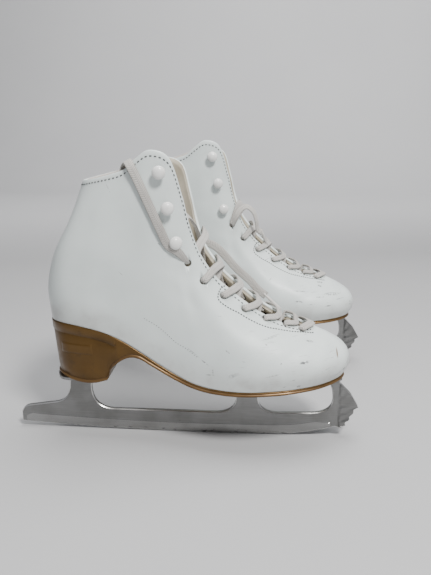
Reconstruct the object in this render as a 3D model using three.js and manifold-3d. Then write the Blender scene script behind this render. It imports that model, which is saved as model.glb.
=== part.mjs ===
// A pair of figure skates: lace-up leather boots on steel blades.
// Each skate is drawn in its own frame: x runs from the back of the heel to the toe, y from the blade's
// middle plane towards the inner side of the foot, and z up from the ice. The left skate is the mirror
// image of the right one. Lengths are in millimetres.
import * as THREE from 'three';
import { mergeVertices } from 'three/addons/utils/BufferGeometryUtils.js';
import Module from 'manifold-3d';

const wasm = await Module();
wasm.setup();

// ---------- Driving dimensions ----------

const GAP = 0.3; // left between pieces that touch
const LATERAL = -1; // the outer side of the foot
const MEDIAL = 1; // the inner side of the foot

// Where each skate's heel stands in the pair, and how far apart the blades are
const RIGHT_HEEL_X = -124.05;
const LEFT_HEEL_X = -99.55;
const BLADE_SPACING = 176.7;
const PAIR_CENTRE_Y = 5.09;

// The layers of the boot, as depths below the leather's outer face
const UPPER_THICKNESS = 2.2;
const STIFFENER = { top: 2.5, bottom: 3.9 };
const LINING_LOW = { top: 4.2, bottom: 6.8 };
const LINING_AT_EDGE = { top: 2.5, bottom: 4.5 };
const EDGE_DEPTH = LINING_AT_EDGE.bottom;

// The boot's outer face: stations from the heel's back to the toe. Each has five points
// (x, half width, z), from the sole's edge up to the edge of the opening.
const STATIONS = [
  [[0.5, 0, 102], [-0.4, 0, 130], [7, 0, 158], [22.5, 0, 187], [33, 0, 215]],
  [[5, 12, 102.3], [4.5, 17, 130], [11, 18, 158], [25, 17, 187], [37.5, 15, 216]],
  [[17, 22.5, 102.5], [17, 28, 130], [21, 29, 159], [32, 27.5, 188], [48, 25.5, 218.5]],
  [[36, 27.5, 100.5], [36, 32, 130], [39, 34, 160], [47, 33.5, 189], [60, 32, 221.5]],
  [[58, 29, 94.5], [56, 32, 126], [58, 35.5, 159], [64, 36, 190], [72, 35.5, 225.5]],
  [[76, 29.5, 85], [74, 32, 118], [74, 35.5, 154], [78, 37, 191], [81, 37.5, 233]],
  [[93, 30.5, 74], [90, 32.5, 108], [88, 35.5, 147], [89, 37.5, 191], [92, 38, 239.5]],
  [[108, 33, 66], [105, 34.5, 98], [101, 35.5, 139], [101, 35.5, 187], [106, 35.5, 233.5]],
  [[118, 35.5, 61], [116, 36.5, 92], [111, 35.5, 130], [109, 33, 168], [114, 29.5, 208]],
  [[128, 37.5, 58.5], [126, 38.5, 84], [121, 37, 113], [118, 33, 142], [119, 28, 186]],
  [[140, 39.5, 56.5], [139, 41, 78], [134, 39, 104], [128, 34.5, 130], [127, 24, 162]],
  [[153, 41.5, 56], [152, 43.5, 74], [148, 41.5, 96], [142, 35.5, 118], [140.5, 20.5, 141.5]],
  [[167, 42.3, 56], [167, 45, 71], [164, 43, 89], [159, 36, 105], [156, 19, 127.5]],
  [[182, 41.5, 56.5], [182, 44.5, 69.5], [180, 42.5, 83.5], [176, 35, 97.5], [172, 17.5, 115]],
  [[197, 39.3, 57], [198, 42.5, 68.5], [196, 40.5, 80.5], [192, 32.5, 92.5], [188, 15, 106]],
  [[211, 35, 57.5], [213, 38.5, 68], [212, 36.5, 78.5], [207, 28.5, 89.5], [203, 11.5, 100.8]],
  [[220, 30.5, 58], [223, 33.5, 67.5], [223, 31.5, 77], [218, 24, 87.5], [212, 6.5, 98.7]],
  [[227, 25.5, 58], [231, 28, 67.5], [231, 26, 77], [226, 18.5, 87.5], [216.5, 0, 97.2]],
  [[233, 20, 58], [237.5, 22, 67.5], [237.5, 20, 76.5], [232.5, 13.5, 86], [224.5, 0, 94]],
  [[238.5, 13.5, 58], [243, 15, 67.5], [243.5, 13, 76], [239.5, 7.5, 84], [235, 0, 87.8]],
  [[242, 6.5, 58], [246.3, 7, 66.5], [246.8, 6, 73.5], [245, 3.5, 79], [242, 0, 82]],
  [[243.2, 0, 58], [246.9, 0, 63.5], [247.6, 0, 69.5], [247, 0, 74], [245.4, 0, 78]],
];
const TOE = STATIONS.length - 1; // the toe's station
const THROAT = 17; // the station where the opening ends
const ANKLE_BEND = 120; // the foot turns inwards in front of this x
const TOE_SWING = 5; // how far the toe lies towards the inner side
const FOOT_REACH = 127; // from the ankle bend to the toe

// One flap of each boot hangs open: how far its top corner moves
const FLAP_SPLAY = 13;
const FLAP_DROP = 12;
const FLAP_MIDDLE = 7; // the station at the middle of the flap
const FLAP_REACH = 3.6; // stations either way

// The sole's upper and lower faces in side view (x, z), and its half width (x, half width)
const SOLE_TOP = [
  [0, 102], [17, 102.6], [36, 100.8], [58, 94.4], [76, 84.8], [93, 73.4], [108, 65.2], [118, 60.9],
  [128, 58.2], [140, 56.4], [153, 55.8], [167, 55.7], [182, 56.2], [197, 57], [211, 57.5], [244, 58],
];
const SOLE_BOTTOM = [
  [0, 55], [48, 55], [51.3, 57.5], [52.6, 63.2], [58.3, 70.2], [64.9, 75.4], [71, 77.6], [78, 76.8],
  [87.5, 71], [104.5, 62.2], [120.5, 56], [132.3, 53.4], [145.7, 52.2], [165, 52.2], [187, 53],
  [209, 54.2], [244, 55],
];
const SOLE_WIDTH = [
  [0.4, 4], [1.5, 8.5], [5, 13.5], [10, 18.5], [17, 23.4], [27, 26.4], [45, 28.9], [65, 29.6],
  [90, 30.5], [115, 34.9], [140, 40], [153, 42], [167, 42.8], [182, 42], [197, 39.8], [211, 35.5],
  [220, 31], [227, 26], [233, 20.5], [238.5, 14], [242, 7], [243.4, 3],
];
const HEEL_HEIGHT = 47;
const HEEL_RAKE = 4; // the heel's back leans this far forward at its foot
const HEEL_NARROWING = 0.14; // share of its width lost at its foot
const HEEL_TOP_Z = 102;

// Inside the boot
const BOARD_INSET = 8.7;
const BOARD_THICKNESS = 1.8;
const FOOTBED_INSET = 9.3;
const FOOTBED_THICKNESS = 3.6;
const HEEL_SEAT = { from: 14, to: 40, z: 108.4 };

// The blade, in side view
const BLADE_THICKNESS = 4;
const ROCKER_RADIUS = 2438; // 8 ft
const ROCKER_X = 125; // the rocker's lowest point
const FRONT_ROCKER_X = 185; // the spin rocker starts here
const FRONT_ROCKER_RADIUS = 200;
const TAIL_X = -32.9;
const RUNNER_TOP = 19.4;
const HEEL_PLATE = { from: 4, to: 47, halfWidth: 20, top: 54.7, thickness: 2.5 };
const SOLE_PLATE = { from: 127, to: 242, thickness: 2.5 };
const PICK_THICKNESS = 7;
const PICK_START_X = 241;
const PICK_TEETH = [
  [244.5, 7.3], [242.9, 10.8], [247, 10.9], [245.5, 13.9], [249.9, 16.6], [249.3, 19.1],
  [253.2, 23.3], [252.1, 25.7], [256.5, 28.2], [250.3, 39], [241.6, 48.2],
];

// Screws: (x, y) of each one
const HEEL_SCREWS = [[11, -12], [11, 12], [40, -12], [40, 12]];
const SOLE_SCREWS = [[136, -14], [136, 14], [172, -18], [172, 18], [222, -12], [222, 12]];
const SCREW = { headRadius: 3.6, headHeight: 1.6, shankRadius: 1.8, tip: 0.8, boreRadius: 2.4 };
const HEEL_SCREW_REACH = 12; // shank length
const SOLE_SCREW_REACH = 4.3;
const SCREW_SIDES = 6;

// Eyelets and hooks: (x, z) of each one, from the ankle down to the throat and from the top down
const EYELETS = [
  [118.2, 156], [129.5, 142], [144.5, 129.5], [161, 118.3], [177.5, 109.6], [193.5, 103.6], [206.5, 98.6],
];
const EYELET_RADIUS = 3.3;
const HOOKS = [[98.2, 224.5], [103.1, 198.5], [108.5, 172.3]];
const HOOK = { baseRadius: 3, stemRadius: 2, domeRadius: 5, height: 7, standOff: 0.9 };

// The tongue, as stations with a half width and depths below the edge of the opening
const TONGUE_THICKNESS = 4.5;
const TONGUE_HINGE = 10.1; // the station where the tongue bends
const TONGUE_CUT = 0.09; // half the slot at the bend, in stations
const TONGUE_BASE = [
  [17.6, 9, 12.5, 15.5], [16.6, 12, 11, 14.5], [15.4, 17, 8.5, 14], [14, 21, 7, 14], [12.6, 24, 6.5, 14.5],
  [11.4, 24, 6.5, 15], [TONGUE_HINGE + TONGUE_CUT, 21, 6.5, 14.5],
];
const TONGUE_TOP = [
  [TONGUE_HINGE - TONGUE_CUT, 16, 6.5, 9], [9.4, 18.5, 6.5, 9.5], [8.4, 20.5, 7, 10.5], [7.6, 22, 7.5, 11.5],
  [6.9, 21.5, 8, 12], [6.5, 17, 8.5, 11], [6.35, 9, 9, 10],
];

// The lace: a flat woven cord 6 mm wide, drawn here as a plain round one
const LACE_RADIUS = 1.3;
const LACE_LIFT = 3.2; // its centre above a face that it lies on
const LACE_SIDES = 8;
const EDGE_CLEARANCE = 2; // how far past the edge of the opening the lace turns
const EDGE_SHIFT = 0.15; // stations between an eyelet and where its lace crosses the edge
const INSIDE_LIFT = 7; // how far a strand that crosses under the edges rises in the middle
const HANK = { from: 122, to: 214, y: -15.5, halfWidth: 6.5, low: 66.4, high: 78.4 };

// ---------- Shaping helpers ----------

const vec = (x, y, z) => new THREE.Vector3(x, y, z);

/** The height of a polyline at x. */
function along(line, x) {
  const next = Math.max(1, line.findIndex((point) => point[0] >= x));
  const index = x >= line[line.length - 1][0] ? line.length - 1 : next;
  const [[x0, h0], [x1, h1]] = [line[index - 1], line[index]];
  return h0 + (h1 - h0) * THREE.MathUtils.clamp((x - x0) / (x1 - x0), 0, 1);
}

/** A point on a Catmull-Rom span between b and c. */
function span(a, b, c, d, t) {
  const weight = (p, q, r, s) => 0.5 * (2 * q + (r - p) * t + (2 * p - 5 * q + 4 * r - s) * t * t
    + (3 * q - p - 3 * r + s) * t * t * t);
  return [0, 1, 2].map((axis) => weight(a[axis], b[axis], c[axis], d[axis]));
}

/** A station's point; past either end the other side's stations follow. */
function stationPoint(station, row) {
  const mirrored = station < 0 || station > TOE;
  const [x, y, z] = STATIONS[station < 0 ? -station : mirrored ? 2 * TOE - station : station][row];
  return [x, mirrored ? -y : y, z];
}

/** A point on a station's own line, v from 0 at the sole to 1 at the opening. */
function stationLine(station, v) {
  const rows = 4;
  const row = Math.min(rows - 1, Math.floor(v * rows));
  const point = (k) => {
    if (k < 0) {
      const [first, second] = [stationPoint(station, 0), stationPoint(station, 1)];
      return first.map((value, axis) => 2 * value - second[axis]);
    }
    if (k <= rows) return stationPoint(station, k);
    const [last, previous] = [stationPoint(station, rows), stationPoint(station, rows - 1)];
    if (station >= THROAT && station <= 2 * TOE - THROAT) return [previous[0], -previous[1], previous[2]];
    return last.map((value, axis) => 2 * value - previous[axis]);
  };
  return span(point(row - 1), point(row), point(row + 1), point(row + 2), v * rows - row);
}

/** Moves a point of a straight foot to where the foot turns inwards. */
function swing(point) {
  if (point.x > ANKLE_BEND) point.y += TOE_SWING * ((point.x - ANKLE_BEND) / FOOT_REACH) ** 2;
  return point;
}

/** A point on a straight boot's outer face. w counts stations from the heel: minus on the outer side. */
function onStraightBoot(w, v, openSide) {
  const lap = 2 * TOE;
  const wrapped = w > TOE ? w - lap : w < -TOE ? w + lap : w;
  const side = wrapped < 0 ? LATERAL : MEDIAL;
  const u = Math.abs(wrapped);
  const station = Math.min(TOE - 1, Math.floor(u));
  const lines = [-1, 0, 1, 2].map((k) => stationLine(station + k, v));
  const [x, y, z] = span(...lines, u - station);
  const point = vec(x, side * Math.max(0, y), z);
  if (side === openSide) {
    const lift = THREE.MathUtils.smoothstep(v, 0.5, 1.1);
    const reach = Math.max(0, 1 - ((u - FLAP_MIDDLE) / FLAP_REACH) ** 2);
    point.y += side * FLAP_SPLAY * lift * reach;
    point.z -= FLAP_DROP * lift * reach;
  }
  return point;
}

const onBoot = (w, v, openSide) => swing(onStraightBoot(w, v, openSide));

/** The outward normal of the boot's face. */
function bootNormal(w, v, openSide) {
  const step = 0.02;
  const [low, high] = [Math.max(0, v - step), Math.min(1, v + step)];
  const up = onStraightBoot(w, high, openSide).sub(onStraightBoot(w, low, openSide));
  const forward = onStraightBoot(w + step, v, openSide).sub(onStraightBoot(w - step, v, openSide));
  const normal = up.cross(forward);
  const onCentreLine = Math.abs(w) >= THROAT && v > 0.99;
  if (onCentreLine || w === 0 || Math.abs(w) === TOE) normal.y = 0;
  return normal.normalize();
}

/** A point at a depth below the boot's face; the lowest row stands on the sole. */
function insideBoot(w, v, depth, openSide) {
  const normal = bootNormal(w, v, openSide);
  const point = swing(onStraightBoot(w, v, openSide).addScaledVector(normal, -depth));
  if (v === 0) point.z = along(SOLE_TOP, point.x) + GAP;
  return point;
}

/** The place on the boot's face at a side and (x, z), with its normal. */
function seatOnBoot(side, [x, z], openSide) {
  let best = { error: Infinity };
  const look = (fromU, toU, fromV, toV) => {
    const steps = 24;
    for (let i = 0; i <= steps; i += 1) {
      for (let k = 0; k <= steps; k += 1) {
        const u = fromU + ((toU - fromU) * i) / steps;
        const v = fromV + ((toV - fromV) * k) / steps;
        const point = onBoot(side * u, v);
        const error = Math.hypot(point.x - x, point.z - z);
        if (error < best.error) best = { error, u, v };
      }
    }
  };
  look(5, THROAT, 0.6, 1);
  look(best.u - 0.5, best.u + 0.5, Math.max(0, best.v - 0.04), Math.min(1, best.v + 0.04));
  const w = side * best.u;
  return { u: best.u, point: onBoot(w, best.v, openSide), normal: bootNormal(w, best.v, openSide) };
}

/** Triangles as one closed body with its faces pointing out. */
function bodyOf(triangles) {
  const volume = triangles.reduce((sum, [a, b, c]) => sum + a.dot(b.clone().cross(c)), 0);
  const corners = triangles.flatMap(([a, b, c]) => (volume > 0 ? [a, b, c] : [a, c, b]));
  return new THREE.BufferGeometry().setFromPoints(corners);
}

/** Joins a row of rings, each with as many points, into a closed body. */
function loft(rings, { closed = false, skip = () => false } = {}) {
  const triangles = [];
  const size = rings[0].length;
  const quad = (a, b, c, d) => triangles.push([a, b, c], [a, c, d]);
  rings.forEach((ring, i) => {
    if (i === rings.length - 1 && !closed) return;
    const next = rings[(i + 1) % rings.length];
    for (let k = 0; k < size; k += 1) {
      const after = (k + 1) % size;
      const onFarFace = k >= size / 2; // its diagonals run the same way as the near face's
      if (skip(i, k)) continue;
      if (onFarFace) quad(ring[after], next[after], next[k], ring[k]);
      else quad(ring[k], ring[after], next[after], next[k]);
    }
  });
  if (!closed) {
    const [first, last] = [rings[0], rings[rings.length - 1]];
    for (let k = 0; k < size / 2 - 1; k += 1) {
      const far = size - 1 - k;
      quad(first[k + 1], first[k], first[far], first[far - 1]);
      quad(last[k], last[k + 1], last[far - 1], last[far]);
    }
  }
  return bodyOf(triangles);
}

/** A curved plate between two heights, with a half width at each x. */
function plate(places, halfWidth, low, high, middle = () => 0) {
  return loft(places.map((x) => {
    const [near, far] = [middle(x) - halfWidth(x), middle(x) + halfWidth(x)];
    return [vec(x, far, low(x)), vec(x, far, high(x)), vec(x, near, high(x)), vec(x, near, low(x))];
  }));
}

/** A flat outline in the x-z plane as a plate about y = 0. */
function upright(outline, thickness) {
  const shape = new THREE.Shape(outline.map(([x, z]) => new THREE.Vector2(x, z)));
  const settings = { depth: thickness, bevelEnabled: false, steps: 1 };
  return new THREE.ExtrudeGeometry(shape, settings).rotateX(Math.PI / 2).translate(0, thickness / 2, 0);
}

/** A turned piece along z, from a profile of (radius, height) points. */
function turned(profile, sides) {
  return new THREE.LatheGeometry(profile.map(([r, h]) => new THREE.Vector2(r, h)), sides)
    .rotateX(Math.PI / 2);
}

function solidOf(geometry) {
  const bare = geometry.clone();
  bare.deleteAttribute('normal');
  bare.deleteAttribute('uv');
  const merged = mergeVertices(bare, 1e-4);
  return new wasm.Manifold(new wasm.Mesh({
    numProp: 3,
    vertProperties: new Float32Array(merged.attributes.position.array),
    triVerts: new Uint32Array(merged.index.array),
  }));
}

function geometryOf(solid) {
  const mesh = solid.getMesh();
  const geometry = new THREE.BufferGeometry();
  geometry.setAttribute('position', new THREE.BufferAttribute(mesh.vertProperties, 3));
  geometry.setIndex(new THREE.BufferAttribute(mesh.triVerts, 1));
  return geometry;
}

/** A geometry with round bores cut through it. */
function bored(geometry, bores) {
  let solid = solidOf(geometry);
  bores.forEach((bore) => {
    solid = solid.subtract(solidOf(bore));
  });
  return geometryOf(solid);
}

/** Turns a piece that stands along z to stand along a normal at a point. */
function stand(geometry, point, normal) {
  const turn = new THREE.Quaternion().setFromUnitVectors(vec(0, 0, 1), normal);
  return geometry.applyQuaternion(turn).translate(point.x, point.y, point.z);
}

// ---------- The boot ----------

const evenly = (from, to, count) => Array.from({ length: count + 1 }, (_, i) => from + ((to - from) * i) / count);

/** A layer of the boot between two depths, over some stations and rows. */
function layer(columns, rows, topDepth, bottomDepth, openSide, closed) {
  const rings = columns.map((w) => [
    ...rows.map((v) => insideBoot(w, v, topDepth(v), openSide)),
    ...rows.toReversed().map((v) => insideBoot(w, v, bottomDepth(v), openSide)),
  ]);
  const pastThroat = (w) => Math.abs(w) >= THROAT;
  const skip = (i, k) => closed && k === rows.length - 1 && pastThroat(columns[i])
    && pastThroat(columns[(i + 1) % columns.length]);
  return loft(rings, { closed, skip });
}

const ALL_ROUND = evenly(-TOE, TOE - 1, 2 * TOE - 1);
const LAYER_ROWS = [0, 0.125, 0.25, 0.5, 0.75, 1];

function eyeletBores(openSide) {
  return [LATERAL, MEDIAL].flatMap((side) => EYELETS.map((place) => {
    const { point, normal } = seatOnBoot(side, place, openSide);
    const bore = new THREE.CylinderGeometry(EYELET_RADIUS, EYELET_RADIUS, 16, 6).rotateX(Math.PI / 2);
    return stand(bore, point.addScaledVector(normal, -EDGE_DEPTH / 2), normal);
  }));
}

function upper(openSide) {
  const shell = layer(ALL_ROUND, LAYER_ROWS, () => 0, () => UPPER_THICKNESS, openSide, true);
  return bored(shell, eyeletBores(openSide));
}

/** The lining thins towards the opening. */
function liningDepth(v, face) {
  const thinning = THREE.MathUtils.smoothstep(v, 0.55, 0.85);
  return THREE.MathUtils.lerp(LINING_LOW[face], LINING_AT_EDGE[face], thinning);
}

function lining(openSide) {
  const [top, bottom] = ['top', 'bottom'].map((face) => (v) => liningDepth(v, face));
  return bored(layer(ALL_ROUND, LAYER_ROWS, top, bottom, openSide, true), eyeletBores(openSide));
}

function stiffener(columns, rows, openSide) {
  return layer(columns, rows, () => STIFFENER.top, () => STIFFENER.bottom, openSide, false);
}

const heelCounter = (openSide) => stiffener(evenly(-5, 5, 10), [0, 0.125, 0.25, 0.5], openSide);
const toePuff = (openSide) => stiffener(evenly(16, 2 * TOE - 16, 10), [0, 0.125, 0.25, 0.5], openSide);

/** How far the middle of the foot lies towards the inner side at x. */
const footMiddle = (x) => (x > ANKLE_BEND ? TOE_SWING * ((x - ANKLE_BEND) / FOOT_REACH) ** 2 : 0);

/** Half width of an outline that lies inside the sole's edge by an inset. */
function insetWidth(inset, x) {
  const first = SOLE_WIDTH[0][0];
  const last = SOLE_WIDTH[SOLE_WIDTH.length - 1][0];
  const edge = [...evenly(first, last, 240).map((at) => [at, along(SOLE_WIDTH, at)]), [first, 0], [last, 0]];
  const room = edge.filter(([at]) => Math.abs(at - x) < inset)
    .map(([at, width]) => width - Math.sqrt(inset ** 2 - (at - x) ** 2));
  return x < first + inset || x > last - inset ? 0 : Math.min(along(SOLE_WIDTH, x), ...room);
}

/** Places along a plate inset from the sole's edge, close together at its ends. */
function insetPlaces(inset, lines) {
  const all = evenly(0, 244, 976).filter((x) => insetWidth(inset, x) > 3);
  const [first, last] = [all[0], all[all.length - 1]];
  const inner = lines.flat().map(([x]) => x).filter((x) => x > first + 5 && x < last - 5);
  const ends = [first, first + 0.7, first + 2, first + 4.5, last - 4.5, last - 2, last - 0.7, last];
  return [...new Set([...ends, ...inner])].sort((m, n) => m - n);
}

function lastingBoard() {
  const low = (x) => along(SOLE_TOP, x) + GAP;
  return plate(insetPlaces(BOARD_INSET, [SOLE_TOP]), (x) => insetWidth(BOARD_INSET, x), low,
    (x) => low(x) + BOARD_THICKNESS, footMiddle);
}

function footbed() {
  const low = (x) => along(SOLE_TOP, x) + BOARD_THICKNESS + 2 * GAP;
  const seat = [[HEEL_SEAT.from, 0], [HEEL_SEAT.to, 0]];
  const high = (x) => {
    const normal = low(x) + FOOTBED_THICKNESS;
    if (x >= HEEL_SEAT.from && x <= HEEL_SEAT.to) return HEEL_SEAT.z;
    return x < HEEL_SEAT.from ? HEEL_SEAT.z : Math.min(HEEL_SEAT.z, normal);
  };
  return plate(insetPlaces(FOOTBED_INSET, [SOLE_TOP, seat]), (x) => insetWidth(FOOTBED_INSET, x), low, high,
    footMiddle);
}

/** The tongue's sections hang below the edge of the opening, between its two sides. */
function tonguePiece(sections) {
  return loft(sections.map(([u, halfWidth, middleDepth, sideDepth]) => {
    const edge = onBoot(-u, 1);
    const along2 = onBoot(-u - 0.3, 1).sub(onBoot(-u + 0.3, 1));
    const out = vec(-along2.z, 0, along2.x).normalize();
    if (out.x + out.z < 0) out.negate();
    const across = [-1, -0.5, 0, 0.5, 1];
    const face = (extra) => across.map((share) => {
      const depth = middleDepth + (sideDepth - middleDepth) * share * share + extra;
      const place = vec(edge.x, footMiddle(edge.x) + share * halfWidth, edge.z);
      return place.addScaledVector(out, -depth);
    });
    return [...face(0), ...face(TONGUE_THICKNESS).reverse()];
  }));
}

// ---------- The sole and the blade ----------

function heelAndOutsole() {
  const places = [...new Set([SOLE_TOP, SOLE_BOTTOM, SOLE_WIDTH].flat().map(([x]) => x))]
    .filter((x) => x >= SOLE_WIDTH[0][0] && x <= SOLE_WIDTH[SOLE_WIDTH.length - 1][0])
    .sort((a, b) => a - b);
  const body = plate(places, (x) => along(SOLE_WIDTH, x), (x) => along(SOLE_BOTTOM, x),
    (x) => along(SOLE_TOP, x), footMiddle);
  const position = body.attributes.position;
  for (let i = 0; i < position.count; i += 1) {
    const [x, y, z] = [position.getX(i), position.getY(i), position.getZ(i)];
    if (x < 51 && z < HEEL_TOP_Z - 10) {
      const down = (HEEL_TOP_Z - z) / HEEL_HEIGHT;
      position.setXYZ(i, x + HEEL_RAKE * down * Math.max(0, 1 - x / 45), y * (1 - HEEL_NARROWING * down), z);
    }
  }
  const bores = (places, depth) => places.map(([x, y]) => {
    const bore = new THREE.CylinderGeometry(SCREW.boreRadius, SCREW.boreRadius, 2 * depth, SCREW_SIDES);
    return bore.rotateX(Math.PI / 2).translate(x, y, along(SOLE_BOTTOM, x));
  });
  const intoSole = (reach) => reach + SCREW.tip - HEEL_PLATE.thickness - GAP;
  return bored(body, [
    ...bores(HEEL_SCREWS, intoSole(HEEL_SCREW_REACH)), ...bores(SOLE_SCREWS, intoSole(SOLE_SCREW_REACH)),
  ]);
}

const solePlateTop = (x) => along(SOLE_BOTTOM, x) - GAP;
const solePlateLow = (x) => solePlateTop(x) - SOLE_PLATE.thickness;

function screwBores(places, z) {
  const { boreRadius } = SCREW;
  return places.map(([x, y]) => new THREE.CylinderGeometry(boreRadius, boreRadius, 12, SCREW_SIDES)
    .rotateX(Math.PI / 2).translate(x, y, z));
}

function solePlate() {
  const width = (x) => {
    const fromHeel = (x - SOLE_PLATE.from) / 8;
    const fromToe = (SOLE_PLATE.to - x) / 14;
    const waist = 19 + 5 * Math.sin(((x - 150) / 60) * Math.PI);
    return Math.max(3, waist * Math.sqrt(THREE.MathUtils.clamp(Math.min(fromHeel, fromToe), 0, 1)));
  };
  const places = [127, 128.5, 131, 135, 145.7, 157, 165, 176, 187, 198, 209, 219, 228, 234, 238.5, 241, 242];
  return bored(plate(places, width, solePlateLow, solePlateTop), screwBores(SOLE_SCREWS, 52));
}

function heelPlate() {
  const { from, to, halfWidth, top, thickness } = HEEL_PLATE;
  const middle = (from + to) / 2;
  const round = (x) => Math.sqrt(Math.max(0, 1 - (Math.abs(x - middle) / (to - middle)) ** 4));
  const places = [from, from + 0.8, from + 3, from + 8, middle, to - 8, to - 3, to - 0.8, to];
  const body = plate(places, (x) => Math.max(6, halfWidth * round(x)), () => top - thickness, () => top);
  return bored(body, screwBores(HEEL_SCREWS, top));
}

/** The runner's lower edge, from the toe back to the tail. */
function runnerEdge() {
  const height = (x) => (x - ROCKER_X) ** 2 / (2 * ROCKER_RADIUS)
    + Math.max(0, x - FRONT_ROCKER_X) ** 2 / (2 * FRONT_ROCKER_RADIUS);
  return evenly(TAIL_X, 238, 22).map((x) => [x, height(x)]);
}

/** A fillet: points on a quarter curve from a through a corner to b. */
function fillet(a, corner, b, count = 4) {
  return evenly(0, 1, count).map((t) => [0, 1].map((axis) => (1 - t) ** 2 * a[axis]
    + 2 * t * (1 - t) * corner[axis] + t * t * b[axis]));
}

function blade() {
  const heelPlateLow = HEEL_PLATE.top - HEEL_PLATE.thickness - GAP;
  const underSole = (x) => [x, solePlateLow(x) - GAP];
  const tailTop = [[TAIL_X, 14], ...fillet([-31.5, 16.5], [-29.5, 19.9], [-24.5, 20.5], 3)];
  const rearStanchion = [
    ...fillet([-2, 24.1], [8.5, 25.4], [11.2, 38], 4), [12.2, heelPlateLow], [31.5, heelPlateLow],
    ...fillet([30.4, 40], [30.4, 20.5], [48, RUNNER_TOP], 6),
  ];
  const frontStanchion = [
    ...fillet([138, RUNNER_TOP], [154.5, 20.2], [154.5, 35], 6), [154.5, underSole(154.5)[1]],
    [172.7, underSole(172.7)[1]], ...fillet([172.7, 35], [173, 20.6], [190, 20.4], 6),
  ];
  const toeStanchion = [
    ...fillet([218, 21.4], [236, 22.6], [235.2, 36], 5), ...fillet([234.9, 40], [234, 47.5], underSole(229), 3),
    underSole(240),
  ];
  const outline = [
    ...runnerEdge(), ...PICK_TEETH, ...toeStanchion.toReversed(), ...frontStanchion.toReversed(),
    ...rearStanchion.toReversed(), ...tailTop.toReversed(),
  ];
  const pickBlank = [
    [PICK_START_X, 8.5], ...PICK_TEETH.slice(1), [PICK_START_X, 48.7],
  ];
  return geometryOf(solidOf(upright(outline, BLADE_THICKNESS)).add(solidOf(upright(pickBlank, PICK_THICKNESS))));
}

function screw([x, y], plateLow, reach) {
  const { headRadius, headHeight, shankRadius, tip } = SCREW;
  const profile = [
    [0, -headHeight], [headRadius * 0.7, -headHeight], [headRadius, -headHeight * 0.4], [headRadius, 0],
    [shankRadius, 0], [shankRadius, reach], [0, reach + tip],
  ];
  return turned(profile, SCREW_SIDES).translate(x, y, plateLow - GAP);
}

// ---------- The fittings ----------

function hook(side, place, openSide) {
  const { baseRadius, stemRadius, domeRadius, height, standOff } = HOOK;
  const profile = [
    [0, 0], [baseRadius, 0], [baseRadius, 0.8], [stemRadius, 1.2], [stemRadius, height - 3.2],
    [domeRadius - 0.6, height - 3.2], [domeRadius, height - 2.2], [domeRadius * 0.6, height - 0.5], [0, height],
  ];
  const { point, normal } = seatOnBoot(side, place, openSide);
  return stand(turned(profile, 8), point.addScaledVector(normal, standOff), normal);
}

// ---------- The lace ----------

/** The lace's place over, inside or at the edge by an eyelet. */
function laceStops(side, index, openSide) {
  const seat = seatOnBoot(side, EYELETS[index], openSide);
  const lift = (point, normal, height) => point.clone().addScaledVector(normal, height);
  const atEdge = (u, height) => {
    const edge = onBoot(side * u, 1, openSide);
    const inwards = edge.clone().sub(onBoot(side * u, 0.95, openSide)).normalize();
    return lift(edge.addScaledVector(inwards, EDGE_CLEARANCE), bootNormal(side * u, 1, openSide), height);
  };
  return {
    out: lift(seat.point, seat.normal, LACE_LIFT),
    in: lift(seat.point, seat.normal, -EDGE_DEPTH - LACE_LIFT),
    over: atEdge(seat.u + EDGE_SHIFT, LACE_LIFT),
    under: atEdge(seat.u - EDGE_SHIFT, -EDGE_DEPTH - LACE_LIFT / 2),
  };
}

/**
 * One strand from its first eyelet down to the throat: out of one side and up through the other.
 * Where it startsInside, it comes to its first eyelet from outside and crosses under the edges.
 */
function strand(firstSide, openSide, midLift, startsInside) {
  const stops = [];
  EYELETS.slice(1).forEach((_, index) => {
    const side = index % 2 ? -firstSide : firstSide;
    const from = laceStops(side, index, openSide);
    const to = laceStops(-side, index + 1, openSide);
    const inside = startsInside && index === 0;
    const middle = (inside ? from.under : from.over).clone().lerp(to.under, 0.5);
    middle.z += inside ? INSIDE_LIFT : midLift;
    stops.push(from.out, ...(inside ? [from.in, from.under] : [from.over]), middle, to.under, to.in);
  });
  const lastSide = EYELETS.length % 2 ? firstSide : -firstSide;
  stops.push(laceStops(lastSide, EYELETS.length - 1, openSide).out);
  return stops;
}

// Each boot's loose end on the inner side, from its free tip back to the first eyelet
const MEDIAL_END = {
  right: [[178, 24, 116], [170.4, 26, 121.5], [164.3, 27, 128], [152.3, 28.5, 138.5], [141.6, 30, 150],
    [135.6, 31, 155.5], [127.2, 32.5, 159]],
  left: [[148.7, 22, 147], [144.5, 25, 150.5], [143, 27, 160], [139.5, 28.5, 169.5], [133, 30, 174.5],
    [127, 31.5, 172], [122.5, 34, 165]],
};
// Its other end, from the first eyelet on the outer side, over the collar and down to the hank
const LATERAL_END = {
  right: [[111.5, -35.6, 165.2], [104.4, -36.9, 170.2], [99, -38.6, 182], [91.7, -39.8, 199.3],
    [82, -40.3, 221], [75, -39.5, 231], [69, -35, 230.5], [65, -27, 222], [66, -26, 200],
    [72, -26, 162], [84, -24, 122], [100, -24, 92], [112, -20, 79]],
  left: [[113, -28, 148], [106, -27, 130], [104, -25, 105], [107, -23, 88], [114, -19, 78]],
};

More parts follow.
